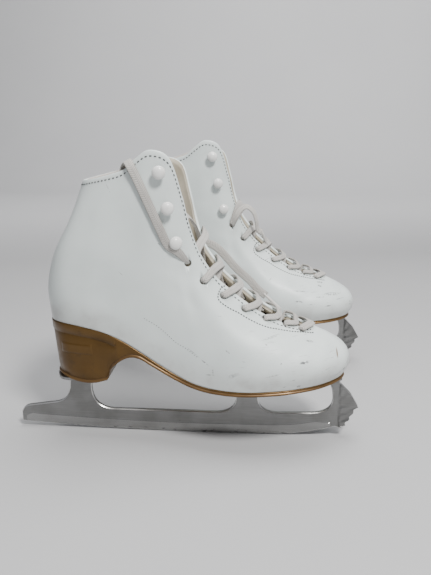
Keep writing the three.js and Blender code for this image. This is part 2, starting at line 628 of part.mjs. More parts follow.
/** The lace's whole route outside its hank, from the free tip to the hank. */
function laceRoute(foot, openSide) {
  const points = (list) => list.map(([x, y, z]) => vec(x, y, z));
  const down = strand(MEDIAL, openSide, 1.4, false);
  const up = strand(LATERAL, openSide, -1.6, foot === 'right').reverse();
  const lastStop = laceStops(LATERAL, 0, openSide);
  const finish = foot === 'left' ? [lastStop.in] : [];
  const bar = onBoot(THROAT - 0.6, 1, openSide);
  bar.y = footMiddle(bar.x);
  bar.z += LACE_LIFT + 2;
  const hankStart = vec(HANK.from - HANK.halfWidth / 2, HANK.y, (HANK.low + HANK.high) / 2);
  return [...points(MEDIAL_END[foot]), ...down, bar, ...up, ...finish, ...points(LATERAL_END[foot]), hankStart];
}

/** A curve that has one section at each of its points. */
class Route extends THREE.Curve {
  constructor(points) {
    super();
    this.smooth = new THREE.CatmullRomCurve3(points, false, 'centripetal');
    this.steps = points.length - 1;
  }

  getPointAt(t, target) {
    return this.smooth.getPoint(t, target);
  }

  getTangentAt(t, target) {
    return this.smooth.getTangent(t, target);
  }
}

function lace(foot, openSide) {
  const route = new Route(laceRoute(foot, openSide));
  const ring = evenly(0, LACE_SIDES - 1, LACE_SIDES - 1).map((i) => {
    const angle = (i / LACE_SIDES) * 2 * Math.PI;
    return new THREE.Vector2(LACE_RADIUS * Math.cos(angle), LACE_RADIUS * Math.sin(angle));
  });
  const settings = { extrudePath: route, steps: route.steps, bevelEnabled: false };
  return new THREE.ExtrudeGeometry(new THREE.Shape(ring), settings);
}

function laceHank() {
  const { from, to, y, halfWidth, low, high } = HANK;
  const shape = new THREE.Shape();
  shape.absarc(to - halfWidth, y, halfWidth, -Math.PI / 2, Math.PI / 2, false);
  shape.absarc(from + halfWidth, y, halfWidth, Math.PI / 2, (3 * Math.PI) / 2, false);
  const settings = { depth: high - low, bevelEnabled: false, curveSegments: 8, steps: 1 };
  return new THREE.ExtrudeGeometry(shape, settings).translate(0, 0, low);
}

// ---------- Materials ----------

const material = (color, roughness, metalness = 0) => new THREE.MeshStandardMaterial({ color, roughness, metalness });
const WHITE_LEATHER = material(0xe6e9e8, 0.5);
const LINING_FABRIC = material(0xb9ada4, 0.9);
const STIFFENER_BOARD = material(0xd8cbb0, 0.8);
const TONGUE_LEATHER = material(0xe3e2de, 0.65);
const GOLD_PLASTIC = material(0x8c6a33, 0.4);
const STEEL = material(0x8f908d, 0.35, 1);
const SCREW_STEEL = material(0xa8a8a4, 0.3, 1);
const WHITE_ENAMEL = material(0xf1f1ef, 0.3);
const LACE_COTTON = material(0xd5d0ca, 0.95);

// ---------- The two skates ----------

/** One skate. openSide is the side whose flap hangs open. */
function skate(foot, openSide) {
  const group = new THREE.Group();
  const add = (name, geometry, finish) => {
    const mesh = new THREE.Mesh(geometry, finish);
    mesh.name = `${foot}_${name}`;
    group.add(mesh);
  };
  add('upper', upper(openSide), WHITE_LEATHER);
  add('lining', lining(openSide), LINING_FABRIC);
  add('heel_counter', heelCounter(openSide), STIFFENER_BOARD);
  add('toe_puff', toePuff(openSide), STIFFENER_BOARD);
  add('tongue_base', tonguePiece(TONGUE_BASE), TONGUE_LEATHER);
  add('tongue', tonguePiece(TONGUE_TOP), TONGUE_LEATHER);
  add('footbed', footbed(), LINING_FABRIC);
  add('lasting_board', lastingBoard(), STIFFENER_BOARD);
  add('heel_and_outsole', heelAndOutsole(), GOLD_PLASTIC);
  add('blade', blade(), STEEL);
  add('sole_plate', solePlate(), STEEL);
  add('heel_plate', heelPlate(), STEEL);
  HEEL_SCREWS.forEach((place, i) => {
    const low = HEEL_PLATE.top - HEEL_PLATE.thickness;
    add(`heel_screw_${i + 1}`, screw(place, low, HEEL_SCREW_REACH), SCREW_STEEL);
  });
  SOLE_SCREWS.forEach((place, i) => {
    add(`sole_screw_${i + 1}`, screw(place, solePlateLow(place[0]), SOLE_SCREW_REACH), SCREW_STEEL);
  });
  HOOKS.forEach((place, i) => {
    add(`outer_hook_${i + 1}`, hook(LATERAL, place, openSide), WHITE_ENAMEL);
    add(`inner_hook_${i + 1}`, hook(MEDIAL, place, openSide), WHITE_ENAMEL);
  });
  add('lace', lace(foot, openSide), LACE_COTTON);
  add('lace_hank', laceHank(), LACE_COTTON);
  return group;
}

const pair = new THREE.Group();
const rightSkate = skate('right', MEDIAL);
rightSkate.position.set(RIGHT_HEEL_X, -BLADE_SPACING / 2 - PAIR_CENTRE_Y, 0);
const leftSkate = skate('left', LATERAL);
leftSkate.position.set(LEFT_HEEL_X, BLADE_SPACING / 2 - PAIR_CENTRE_Y, 0);
leftSkate.scale.y = -1;
pair.add(rightSkate, leftSkate);

export default pair;
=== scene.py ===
# Looks for a pair of figure skates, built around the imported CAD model.
# Each skate is shaped in its own frame, in millimetres: x from the back of the heel to the toe, y from the
# blade's middle plane towards the inner side of the foot, z up from the ice. place() carries it to metres.
import math

import bmesh
import bpy
import numpy as np
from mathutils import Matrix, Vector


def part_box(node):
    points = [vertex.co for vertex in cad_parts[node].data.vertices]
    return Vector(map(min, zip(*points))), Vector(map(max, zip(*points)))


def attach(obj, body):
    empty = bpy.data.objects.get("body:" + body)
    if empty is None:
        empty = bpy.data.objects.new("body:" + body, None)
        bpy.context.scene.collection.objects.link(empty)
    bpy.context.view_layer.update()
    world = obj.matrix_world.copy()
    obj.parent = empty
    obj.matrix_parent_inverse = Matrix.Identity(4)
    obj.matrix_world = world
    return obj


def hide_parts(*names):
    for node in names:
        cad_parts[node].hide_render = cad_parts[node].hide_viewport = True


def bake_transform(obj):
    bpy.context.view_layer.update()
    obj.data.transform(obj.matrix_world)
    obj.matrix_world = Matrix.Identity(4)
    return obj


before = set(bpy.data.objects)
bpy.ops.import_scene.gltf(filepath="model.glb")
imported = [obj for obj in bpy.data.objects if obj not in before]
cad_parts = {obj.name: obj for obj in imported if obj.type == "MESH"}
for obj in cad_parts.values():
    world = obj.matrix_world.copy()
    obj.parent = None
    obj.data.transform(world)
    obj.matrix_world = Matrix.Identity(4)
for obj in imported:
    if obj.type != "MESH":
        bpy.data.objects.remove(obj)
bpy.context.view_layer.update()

# ---------- Dimensions, mm ----------

LATERAL, MEDIAL = -1, 1
FEET = {"right": MEDIAL, "left": LATERAL}  # each foot, and the side whose flap hangs open
TAIL_X = -32.9

STATIONS = np.array([
    [[0.5, 0, 102], [-0.4, 0, 130], [7, 0, 158], [22.5, 0, 187], [33, 0, 215]],
    [[5, 12, 102.3], [4.5, 17, 130], [11, 18, 158], [25, 17, 187], [37.5, 15, 216]],
    [[17, 22.5, 102.5], [17, 28, 130], [21, 29, 159], [32, 27.5, 188], [48, 25.5, 218.5]],
    [[36, 27.5, 100.5], [36, 32, 130], [39, 34, 160], [47, 33.5, 189], [60, 32, 221.5]],
    [[58, 29, 94.5], [56, 32, 126], [58, 35.5, 159], [64, 36, 190], [72, 35.5, 225.5]],
    [[76, 29.5, 85], [74, 32, 118], [74, 35.5, 154], [78, 37, 191], [81, 37.5, 233]],
    [[93, 30.5, 74], [90, 32.5, 108], [88, 35.5, 147], [89, 37.5, 191], [92, 38, 239.5]],
    [[108, 33, 66], [105, 34.5, 98], [101, 35.5, 139], [101, 35.5, 187], [106, 35.5, 233.5]],
    [[118, 35.5, 61], [116, 36.5, 92], [111, 35.5, 130], [109, 33, 168], [114, 29.5, 208]],
    [[128, 37.5, 58.5], [126, 38.5, 84], [121, 37, 113], [118, 33, 142], [119, 28, 186]],
    [[140, 39.5, 56.5], [139, 41, 78], [134, 39, 104], [128, 34.5, 130], [127, 24, 162]],
    [[153, 41.5, 56], [152, 43.5, 74], [148, 41.5, 96], [142, 35.5, 118], [140.5, 20.5, 141.5]],
    [[167, 42.3, 56], [167, 45, 71], [164, 43, 89], [159, 36, 105], [156, 19, 127.5]],
    [[182, 41.5, 56.5], [182, 44.5, 69.5], [180, 42.5, 83.5], [176, 35, 97.5], [172, 17.5, 115]],
    [[197, 39.3, 57], [198, 42.5, 68.5], [196, 40.5, 80.5], [192, 32.5, 92.5], [188, 15, 106]],
    [[211, 35, 57.5], [213, 38.5, 68], [212, 36.5, 78.5], [207, 28.5, 89.5], [203, 11.5, 100.8]],
    [[220, 30.5, 58], [223, 33.5, 67.5], [223, 31.5, 77], [218, 24, 87.5], [212, 6.5, 98.7]],
    [[227, 25.5, 58], [231, 28, 67.5], [231, 26, 77], [226, 18.5, 87.5], [216.5, 0, 97.2]],
    [[233, 20, 58], [237.5, 22, 67.5], [237.5, 20, 76.5], [232.5, 13.5, 86], [224.5, 0, 94]],
    [[238.5, 13.5, 58], [243, 15, 67.5], [243.5, 13, 76], [239.5, 7.5, 84], [235, 0, 87.8]],
    [[242, 6.5, 58], [246.3, 7, 66.5], [246.8, 6, 73.5], [245, 3.5, 79], [242, 0, 82]],
    [[243.2, 0, 58], [246.9, 0, 63.5], [247.6, 0, 69.5], [247, 0, 74], [245.4, 0, 78]],
], float)
TOE = len(STATIONS) - 1
THROAT = 17
ANKLE_BEND, TOE_SWING, FOOT_REACH = 120, 5, 127
FLAP_SPLAY, FLAP_DROP, FLAP_MIDDLE, FLAP_REACH = 13, 12, 7, 3.6

SOLE_TOP = [(0, 102), (17, 102.9), (32, 101.4), (46, 98.8), (66, 90.6), (79, 82.4), (94, 72.8),
            (115, 62.2), (131, 57.6), (143, 56.3), (165, 55.8), (187, 56.7), (209, 57.6), (244, 58.1)]
SOLE_BOTTOM = [(0, 55), (48, 55), (50.4, 56), (51.6, 58), (52.6, 62.4), (55, 67), (58.3, 70.6), (64.9, 75.4),
               (71, 77.6), (78, 76.8), (87.5, 71.4), (104.5, 62.2), (120.5, 56), (132.3, 53.4),
               (145.7, 52.2), (165, 52.2), (187, 53), (209, 54.2), (244, 55)]
SOLE_OUTLINE = [(0.2, 0), (1.2, 6), (4.4, 12), (10, 18.6), (17, 23.4), (27, 26.6), (36, 28), (58, 29.4),
                (76, 30), (93, 31), (108, 33.5), (118, 35.8), (128, 37.9), (140, 39.9), (153, 41.9),
                (167, 42.7), (182, 41.9), (197, 39.7), (211, 35.4), (220, 31), (227, 26), (233, 20.4),
                (238.5, 13.9), (242.2, 6.6), (243.6, 0)]

EYELETS = [(118.2, 156), (129.5, 142), (144.5, 129.5), (161, 118.3), (177.5, 109.6), (193.5, 103.6),
           (206.5, 98.6)]
HOOKS = [(98.2, 224.5), (103.1, 198.5), (108.5, 172.3)]
LEATHER = 2.2
EDGE_DEPTH = 4.5  # of the leather and its lining at the eyelets
HEEL_TOP_Z, HEEL_HEIGHT, HEEL_TAPER, HEEL_END = 102, 47, 0.14, 62
PLATE_THICK, PLATE_GAP = 2.5, 0.3
HEEL_PLATE = {"from": 4, "to": 47, "half": 20, "top": 54.7}
HEEL_PLATE_LOW = HEEL_PLATE["top"] - PLATE_THICK
SOLE_PLATE = {"from": 127, "to": 242}
HEEL_SCREWS = [(11, -12), (11, 12), (40, -12), (40, 12)]
SOLE_SCREWS = [(136, -14), (136, 14), (172, -18), (172, 18), (222, -12), (222, 12)]
LACE_WIDTH, LACE_THICK = 6.8, 1.5


# ---------- The skate's frame ----------

def heel_of(foot):
    """Where the heel's back on the blade's middle plane stands in the row frame, in metres."""
    low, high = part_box(f"{foot}_blade")
    return np.array([low[0] - TAIL_X / 1000, (low[1] + high[1]) / 2, 0.0])


HEEL = {foot: heel_of(foot) for foot in FEET}


def place(points, foot):
    """Millimetres in a skate's frame to metres in the row frame. The left skate is a mirror image."""
    points = np.asarray(points, float).reshape(-1, 3) / 1000
    if foot == "left":
        points = points * [1, -1, 1]
    return points + HEEL[foot]


def smooth_line(line, x):
    """A smooth curve through a line's points, at x."""
    xs, ys = np.array(line, float).T
    slopes = np.gradient(ys, xs)
    k = np.clip(np.searchsorted(xs, x) - 1, 0, len(xs) - 2)
    width = xs[k + 1] - xs[k]
    t = np.clip((x - xs[k]) / width, 0, 1)
    return ((2 * t ** 3 - 3 * t ** 2 + 1) * ys[k] + (t ** 3 - 2 * t ** 2 + t) * width * slopes[k]
            + (3 * t ** 2 - 2 * t ** 3) * ys[k + 1] + (t ** 3 - t ** 2) * width * slopes[k + 1])


def smoothstep(x, low, high):
    t = np.clip((np.asarray(x, float) - low) / (high - low), 0, 1)
    return t * t * (3 - 2 * t)


def foot_middle(x):
    return np.where(x > ANKLE_BEND, TOE_SWING * ((x - ANKLE_BEND) / FOOT_REACH) ** 2, 0)


def control_net():
    """The stations with one more row and column of points past each edge."""
    net = np.zeros((TOE + 3, 7, 3))
    for k in range(-1, TOE + 2):
        rows = STATIONS[abs(k) if k < 0 else k if k <= TOE else 2 * TOE - k].copy()
        if k < 0 or k > TOE:
            rows[:, 1] *= -1
        above = rows[3] * [1, -1, 1] if THROAT <= k <= 2 * TOE - THROAT else 2 * rows[4] - rows[3]
        net[k + 1] = np.vstack([2 * rows[0] - rows[1], rows, above])
    return net


NET = control_net()


def weights(t):
    return 0.5 * np.stack([-t + 2 * t ** 2 - t ** 3, 2 - 5 * t ** 2 + 3 * t ** 3,
                           t + 4 * t ** 2 - 3 * t ** 3, -t ** 2 + t ** 3], -1)


def swing(points):
    points = points.copy()
    points[..., 1] += foot_middle(points[..., 0])
    return points


def straight_boot(w, v, open_side):
    """Points on the boot's outer face before the foot turns inwards. w counts stations from the heel."""
    w, v = np.broadcast_arrays(np.asarray(w, float), np.asarray(v, float))
    w = np.where(w > TOE, w - 2 * TOE, np.where(w < -TOE, w + 2 * TOE, w))
    side, u = np.where(w < 0, LATERAL, MEDIAL), np.abs(w)
    s = np.minimum(TOE - 1, np.floor(u)).astype(int)
    row = np.minimum(3, np.floor(v * 4)).astype(int)
    wu, wv = weights(u - s), weights(v * 4 - row)
    point = sum(wu[..., i, None] * wv[..., j, None] * NET[s + i, row + j] for i in range(4) for j in range(4))
    point[..., 1] = side * np.maximum(0, point[..., 1])
    hangs = np.maximum(0, 1 - ((u - FLAP_MIDDLE) / FLAP_REACH) ** 2)
    hangs *= (side == open_side) * smoothstep(v, 0.5, 1.1)
    point[..., 1] += side * FLAP_SPLAY * hangs
    point[..., 2] -= FLAP_DROP * hangs
    return point


def on_boot(w, v, open_side=0):
    return swing(straight_boot(w, v, open_side))


def unit(vectors):
    return vectors / np.maximum(1e-9, np.linalg.norm(vectors, axis=-1, keepdims=True))


def run_along(points):
    """The distance along a line of points, at each of them."""
    return np.concatenate([[0], np.cumsum(np.linalg.norm(np.diff(points, axis=0), axis=1))])


def boot_normal(w, v, open_side=0):
    w, v = np.broadcast_arrays(np.asarray(w, float), np.asarray(v, float))
    step = 0.02
    above, below = np.minimum(1, v + step), np.maximum(0, v - step)
    up = straight_boot(w, above, open_side) - straight_boot(w, below, open_side)
    ahead = straight_boot(w + step, v, open_side) - straight_boot(w - step, v, open_side)
    normal = np.cross(up, ahead)
    flat = ((np.abs(w) >= THROAT) & (v > 0.99)) | (w == 0) | (np.abs(w) == TOE)
    normal[..., 1] = np.where(flat, 0, normal[..., 1])
    return unit(normal)


def up_the_boot(w, v, open_side=0):
    """The direction along the leather towards the opening."""
    up = straight_boot(w, v, open_side) - straight_boot(w, np.asarray(v, float) - 0.03, open_side)
    up[..., 1] = np.where(np.abs(np.asarray(w, float)) >= THROAT, 0, up[..., 1])
    return unit(up)


def inside_boot(w, v, depth, open_side=0, rise=0.0):
    w, v = np.broadcast_arrays(np.asarray(w, float), np.asarray(v, float))
    point = straight_boot(w, v, open_side) - boot_normal(w, v, open_side) * np.asarray(depth)[..., None]
    if np.any(rise):
        point = point + up_the_boot(w, v, open_side) * np.asarray(rise)[..., None]
    return swing(point)


def seat(side, place_xz, low=(5, 0.6), high=(THROAT, 1.0)):
    """The stations and share of height of a place on one side of the boot."""
    low, high = np.array(low, float), np.array(high, float)
    limit = high.copy()
    for _ in range(4):
        u, v = np.meshgrid(np.linspace(low[0], high[0], 60), np.linspace(low[1], high[1], 60), indexing="ij")
        points = on_boot(side * u, v)
        k = np.argmin(np.hypot(points[..., 0] - place_xz[0], points[..., 2] - place_xz[1]))
        best = np.array([u.flat[k], v.flat[k]])
        reach = (high - low) / 12
        low, high = best - reach, np.minimum(best + reach, limit)
    return best


def boot_at(side, place_xz, open_side):
    """The point and the outward direction at a place on one side of the boot."""
    u, v = seat(side, place_xz)
    return on_boot(side * u, v, open_side), boot_normal(side * u, v, open_side)


# ---------- Mesh helpers ----------

def new_object(name, verts, faces, foot, material, smooth=True):
    verts = place(verts, foot)
    if foot == "left":
        faces = [tuple(reversed(face)) for face in faces]
    mesh = bpy.data.meshes.new(name)
    mesh.from_pydata(verts.tolist(), [], [tuple(int(i) for i in face) for face in faces])
    mesh.polygons.foreach_set("use_smooth", [smooth] * len(mesh.polygons))
    mesh.materials.append(material)
    obj = bpy.data.objects.new(name, mesh)
    bpy.context.scene.collection.objects.link(obj)
    return obj


def loft_faces(count, size, closed=False, caps=True, skip=None):
    """Faces that join count rings of size points each."""
    faces = []
    for i in range(count if closed else count - 1):
        a, b = i * size, ((i + 1) % count) * size
        for k in range(size):
            after = (k + 1) % size
            if skip is None or not skip(i, k):
                faces.append((a + k, a + after, b + after, b + k))
    if not closed and caps:
        last = (count - 1) * size
        for k in range(size // 2 - 1):
            far = size - 1 - k
            faces.append((k + 1, k, far, far - 1))
            faces.append((last + k, last + k + 1, last + far - 1, last + far))
    return faces


def tidy_mesh(obj, distance):
    """Merges doubled points and turns every face outwards."""
    bm = bmesh.new()
    bm.from_mesh(obj.data)
    bmesh.ops.remove_doubles(bm, verts=bm.verts, dist=distance)
    bmesh.ops.recalc_face_normals(bm, faces=bm.faces)
    if bm.calc_volume(signed=True) < 0:
        bmesh.ops.reverse_faces(bm, faces=bm.faces)
    bm.to_mesh(obj.data)
    bm.free()
    return obj


def apply_modifiers(obj):
    graph = bpy.context.evaluated_depsgraph_get()
    mesh = bpy.data.meshes.new_from_object(obj.evaluated_get(graph))
    obj.modifiers.clear()
    obj.data = mesh


def add_modifier(obj, kind, **settings):
    modifier = obj.modifiers.new(kind.title(), kind)
    for key, value in settings.items():
        setattr(modifier, key, value)


def turned(profile, centre, normal, sides=24):
    """Points and faces of a lathed piece with its axis at a centre along a normal."""
    normal = unit(np.asarray(normal, float))
    first = unit(np.cross((0, 0, 1) if abs(normal[2]) < 0.8 else (1, 0, 0), normal))
    angle = np.arange(sides)[:, None] / sides * 2 * math.pi
    circle = np.cos(angle) * first + np.sin(angle) * np.cross(normal, first)
    verts = np.concatenate([centre + normal * h + r * circle for r, h in profile])
    ends = [tuple(reversed(range(sides))), tuple(range(len(verts) - sides, len(verts)))]
    return verts, loft_faces(len(profile), sides, caps=False) + ends


def panel(front, back):
    """Points and faces of a closed sheet between two grids of points."""
    rows, columns = front.shape[:2]
    total = rows * columns
    faces = []
    for i in range(rows - 1):
        for a in range(i * columns, i * columns + columns - 1):
            quad = (a, a + 1, a + columns + 1, a + columns)
            faces += [quad, tuple(total + p for p in reversed(quad))]
    grid = np.arange(total).reshape(rows, columns)
    rim = [*grid[:, 0], *grid[-1, 1:], *grid[-2::-1, -1], *grid[0, -2:0:-1]]
    faces += [(a, b, total + b, total + a) for a, b in zip(rim, rim[1:] + rim[:1])]
    return np.vstack([front.reshape(-1, 3), back.reshape(-1, 3)]), faces


def joined(parts):
    """Several lots of points and faces as one."""
    verts, faces, offset = [], [], 0
    for part_verts, part_faces in parts:
        verts.append(part_verts)
        faces += [tuple(i + offset for i in face) for face in part_faces]
        offset += len(part_verts)
    return np.concatenate(verts), faces


def settle(obj, foot, slot, *nodes):
    """Attaches a piece to its body and hides the CAD nodes it stands for. The slot argument is not used."""
    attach(obj, f"{foot}_skate")
    if nodes:
        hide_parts(*[f"{foot}_{node}" for node in nodes])
    return obj


def piece(foot, name, parts, material, slot, *nodes, smooth=True, merge=1e-8):
    """A settled piece made of lots of points and faces, with points closer than merge (in m) joined."""
    obj = new_object(f"{foot}_{name}", *joined(parts), foot, MATERIALS[material], smooth)
    return settle(tidy_mesh(obj, merge), foot, slot, *nodes)


def cut_away(obj, foot, parts, material):
    """Takes closed parts out of a closed mesh."""
    cutter = new_object("cutter", *joined(parts), foot, MATERIALS[material], smooth=False)
    add_modifier(obj, "BOOLEAN", operation="DIFFERENCE", object=tidy_mesh(cutter, 1e-8), solver="MANIFOLD")
    apply_modifiers(obj)
    bpy.data.objects.remove(cutter)


# ---------- Materials ----------

class Shader:
    """A material's node tree, built with short calls."""

    def __init__(self, name):
        self.material = bpy.data.materials.new(name)
        self.material.use_nodes = True
        self.tree = self.material.node_tree
        self.shader = self.tree.nodes["Principled BSDF"]
        self.position = self.node("ShaderNodeTexCoord", {}).outputs["Object"]

    def put(self, node, socket, value):
        """Gives a socket a number, a colour or a vector, or links it to another node's output."""
        if isinstance(value, bpy.types.NodeSocket):
            self.tree.links.new(value, node.inputs[socket])
        elif node.inputs[socket].type == "RGBA":
            node.inputs[socket].default_value = (*value, 1)
        else:
            node.inputs[socket].default_value = value

    def node(self, kind, inputs, **settings):
        node = self.tree.nodes.new(kind)
        for key, value in settings.items():
            setattr(node, key, value)
        for socket, value in inputs.items():
            self.put(node, socket, value)
        return node

    def scaled(self, *scale):
        return self.node("ShaderNodeMapping", {"Scale": scale, "Vector": self.position}).outputs["Vector"]

    def noise(self, scale, detail=3, vector=None, rough=0.5):
        inputs = {"Vector": vector or self.position, "Scale": scale, "Detail": detail, "Roughness": rough}
        return self.node("ShaderNodeTexNoise", inputs).outputs["Fac"]

    def cells(self, scale):
        inputs = {"Vector": self.position, "Scale": scale}
        return self.node("ShaderNodeTexVoronoi", inputs).outputs["Distance"]

    def grey(self, source, low, high, out_low=0.0, out_high=1.0):
        inputs = {"Value": source, "From Min": low, "From Max": high, "To Min": out_low, "To Max": out_high}
        return self.node("ShaderNodeMapRange", inputs, interpolation_type="SMOOTHSTEP").outputs["Result"]

    def patches(self, scale, detail, *limits):
        """Soft patches of noise, from 0 to 1 or between the last two limits."""
        return self.grey(self.noise(scale, detail), *limits)

    def math(self, operation, first, second=0.0):
        return self.node("ShaderNodeMath", {0: first, 1: second}, operation=operation).outputs[0]

    def times(self, first, second):
        return self.math("MULTIPLY", first, second)

    def mix(self, factor, first, second):
        return self.node("ShaderNodeMix", {0: factor, 6: first, 7: second}, data_type="RGBA").outputs[2]

    def attribute(self, name):
        return self.node("ShaderNodeAttribute", {}, attribute_name=name).outputs["Fac"]

    def bumps(self, *layers):
        """Bump layers on each other, each (height, strength, depth in mm)."""
        normal = {}
        for height, strength, depth in layers:
            inputs = {"Height": height, "Strength": strength, "Distance": depth / 1000, **normal}
            normal = {"Normal": self.node("ShaderNodeBump", inputs).outputs["Normal"]}
        return normal["Normal"]

    def finish(self, color, roughness, normal, **fixed):
        sockets = {"Base Color": color, "Roughness": roughness, "Normal": normal}
        for key, value in {**sockets, **fixed}.items():
            self.put(self.shader, key.replace("_", " "), value)
        return self.material


# Scuffs on the side of each boot that faces the camera: (x, z) from and to, half width in mm, and darkness
SCUFFS = {
    "right": [
        (175, 97, 190, 99, 0.9, 0.45), (209, 92.5, 216, 90.5, 0.6, 0.8), (205, 79.5, 211, 79.8, 1.3, 0.95),
        (148, 90.5, 150.5, 88.5, 0.7, 0.8), (129, 81, 134, 77.5, 0.7, 0.9), (116, 91.5, 129, 81.5, 0.35, 0.6),
        (132, 69, 139, 69.5, 0.6, 0.7), (137.6, 75, 137.8, 69.5, 0.45, 0.7), (151, 69.5, 157, 72, 2.2, 0.4),
        (178, 70, 190, 72.5, 0.8, 0.4), (203.5, 60.3, 205, 61, 1.1, 1), (192, 60.8, 194, 61.2, 0.8, 0.7),
        (240.5, 66, 242.5, 67.2, 0.8, 0.9), (233, 62.5, 240, 66, 0.5, 0.5), (244, 70, 245.5, 75, 0.6, 0.7),
        (141, 116.2, 144, 115.8, 0.5, 0.35), (178, 94.2, 179, 93.5, 0.6, 0.7), (222, 71, 230, 73, 0.5, 0.4),
        (189.6, 80, 190.6, 80.6, 0.5, 0.8), (160, 83, 163, 82, 0.45, 0.5), (196, 66, 203, 67.5, 0.5, 0.4),
        (65, 150, 69, 146, 0.4, 0.4), (96, 172, 98, 171, 0.5, 0.5), (58, 216, 62, 208, 0.5, 0.35),
    ],
    "left": [
        (207, 98.5, 213, 97, 0.6, 0.8), (207, 95, 214, 93.5, 0.7, 0.85), (208, 92.5, 212, 91, 1.0, 0.9),
        (180, 90, 199, 88, 0.6, 0.6), (184, 79.8, 192, 79, 1.0, 0.8), (204, 83, 216, 82.5, 0.6, 0.6),
        (215, 74, 221.5, 74.3, 0.8, 0.8), (213, 85, 231, 83.5, 1.6, 0.6), (242.5, 75, 242.8, 71, 1.2, 0.5),
        (192, 101.5, 195, 100.5, 0.6, 0.7), (157, 100, 159.5, 103, 0.7, 0.4), (196, 76, 205, 77, 0.5, 0.5),
        (150, 118, 158, 121, 0.5, 0.4), (226, 79, 236, 79.5, 0.6, 0.5),
    ],
}
BROWN_SCRATCH = (234.8, 84, 235.6, 77.5, 0.7, 1)


def leather_material(foot):
    """White coated leather: fine pores, soft patches, grime and a painted shade near the sole, and dark
    scuffs where it rubs.
    """
    s = Shader(f"white_leather_{foot}")
    low, wear, seen = (s.attribute(name) for name in ("low", "wear", "seen"))

    def streak(x0, z0, x1, z1, half, dark):
        """Darkness along a short straight mark, and 0 away from it."""
        reach = math.hypot(x1 - x0, z1 - z0) / 2 + half
        inputs = {"Location": place([((x0 + x1) / 2, 0, (z0 + z1) / 2)], foot)[0],
                  "Rotation": (0, -math.atan2(z1 - z0, x1 - x0), 0),
                  "Scale": (reach / 1000, 10, half / 1000), "Vector": s.position}
        local = s.node("ShaderNodeMapping", inputs, vector_type="TEXTURE").outputs["Vector"]
        length = s.node("ShaderNodeVectorMath", {0: local}, operation="LENGTH").outputs["Value"]
        return s.grey(length, 1.1, 0.35, 0, dark)

    scuffs = 0.0
    for mark in SCUFFS[foot]:
        scuffs = s.math("MAXIMUM", scuffs, streak(*mark))
    scuffs = s.times(s.times(scuffs, s.grey(s.noise(1, 3, s.scaled(500, 500, 900), 0.6), 0.4, 0.56)), seen)
    hairs = s.grey(s.noise(1, 2, s.scaled(90, 90, 1100)), 0.62, 0.68)
    hairs = s.times(s.times(hairs, s.patches(75, 3, 0.5, 0.6)), wear)
    grime = s.times(s.patches(60, 5, 0.42, 0.7), low)

    color = s.mix(s.patches(22, 4, 0.35, 0.65), (0.765, 0.825, 0.808), (0.705, 0.765, 0.75))
    # painted shade: the leather turns evenly darker towards the sole, under the patchy grime laid on next
    color = s.mix(s.times(low, 0.6), color, (0.52, 0.53, 0.515))
    color = s.mix(s.times(grime, 0.5), color, (0.42, 0.41, 0.39))
    color = s.mix(s.times(hairs, 0.35), color, (0.33, 0.33, 0.33))
    color = s.mix(scuffs, color, (0.09, 0.09, 0.095))
    if foot == "right":
        color = s.mix(s.times(streak(*BROWN_SCRATCH), seen), color, (0.22, 0.13, 0.06))
    normal = s.bumps((s.cells(1500), 0.16, 0.12), (s.noise(900), 0.2, 0.1), (s.noise(26), 0.3, 0.9))
    rough = s.math("ADD", s.patches(120, 3, 0.3, 0.7, 0.3, 0.42), s.times(scuffs, 0.3))
    return s.finish(color, rough, normal, Coat_Weight=0.12, Coat_Roughness=0.3)


def lining_material():
    """Brushed textile, beige grey."""
    s = Shader("lining_fabric")
    color = s.mix(s.patches(30, 5, 0.3, 0.7), (0.5, 0.46, 0.42), (0.41, 0.37, 0.335))
    color = s.mix(s.patches(900, 2, 0.45, 0.75), color, (0.6, 0.56, 0.52))
    weave = s.times(s.noise(1, 2, s.scaled(2200, 2200, 500)), s.noise(1, 2, s.scaled(500, 500, 2200)))
    normal = s.bumps((weave, 0.5, 0.3), (s.noise(1400), 0.45, 0.25))
    return s.finish(color, 0.92, normal, Sheen_Weight=0.25, Sheen_Roughness=0.5)


def sole_material(name, light, dark, metallic):
    """Bronze-gold painted moulding, with fine mottling and rubbed patches."""
    s = Shader(name)
    color = s.mix(s.patches(35, 4, 0.35, 0.65), light, dark)
    color = s.mix(s.times(s.patches(160, 4, 0.6, 0.75), 0.35), color, (0.05, 0.03, 0.012))
    return s.finish(color, s.patches(90, 3, 0.3, 0.7, 0.3, 0.5), s.bumps((s.noise(1300, 2), 0.12, 0.08)),
                    Metallic=metallic, Coat_Weight=0.05, Coat_Roughness=0.25)


def steel_material(name, tone, rough_low, rough_high):
    """Ground steel with fine lines along the blade, light stains, and dark nicks low on the runner."""
    s = Shader(name)
    lines = s.noise(1, 3, s.scaled(35, 900, 2600), 0.6)
    color = s.mix(s.patches(45, 4, 0.35, 0.75), (tone, tone, tone * 0.985),
                  (tone * 0.74, tone * 0.735, tone * 0.71))
    color = s.mix(s.grey(lines, 0.35, 0.65, 0, 0.35), color, (tone * 0.6, tone * 0.6, tone * 0.6))
    color = s.mix(s.times(s.patches(420, 3, 0.68, 0.76), 0.4), color, (0.06, 0.05, 0.045))
    height = s.node("ShaderNodeSeparateXYZ", {"Vector": s.position}).outputs["Z"]
    nicks = s.grey(s.noise(1, 4, s.scaled(150, 40, 500), 0.7), 0.56, 0.63)
    nicks = s.times(nicks, s.grey(height, 0.0042, 0.002))
    color = s.mix(s.times(nicks, 0.85), color, (0.03, 0.027, 0.025))
    return s.finish(color, s.grey(lines, 0.3, 0.7, rough_low, rough_high), s.bumps((lines, 0.12, 0.08)),
                    Metallic=1.0)


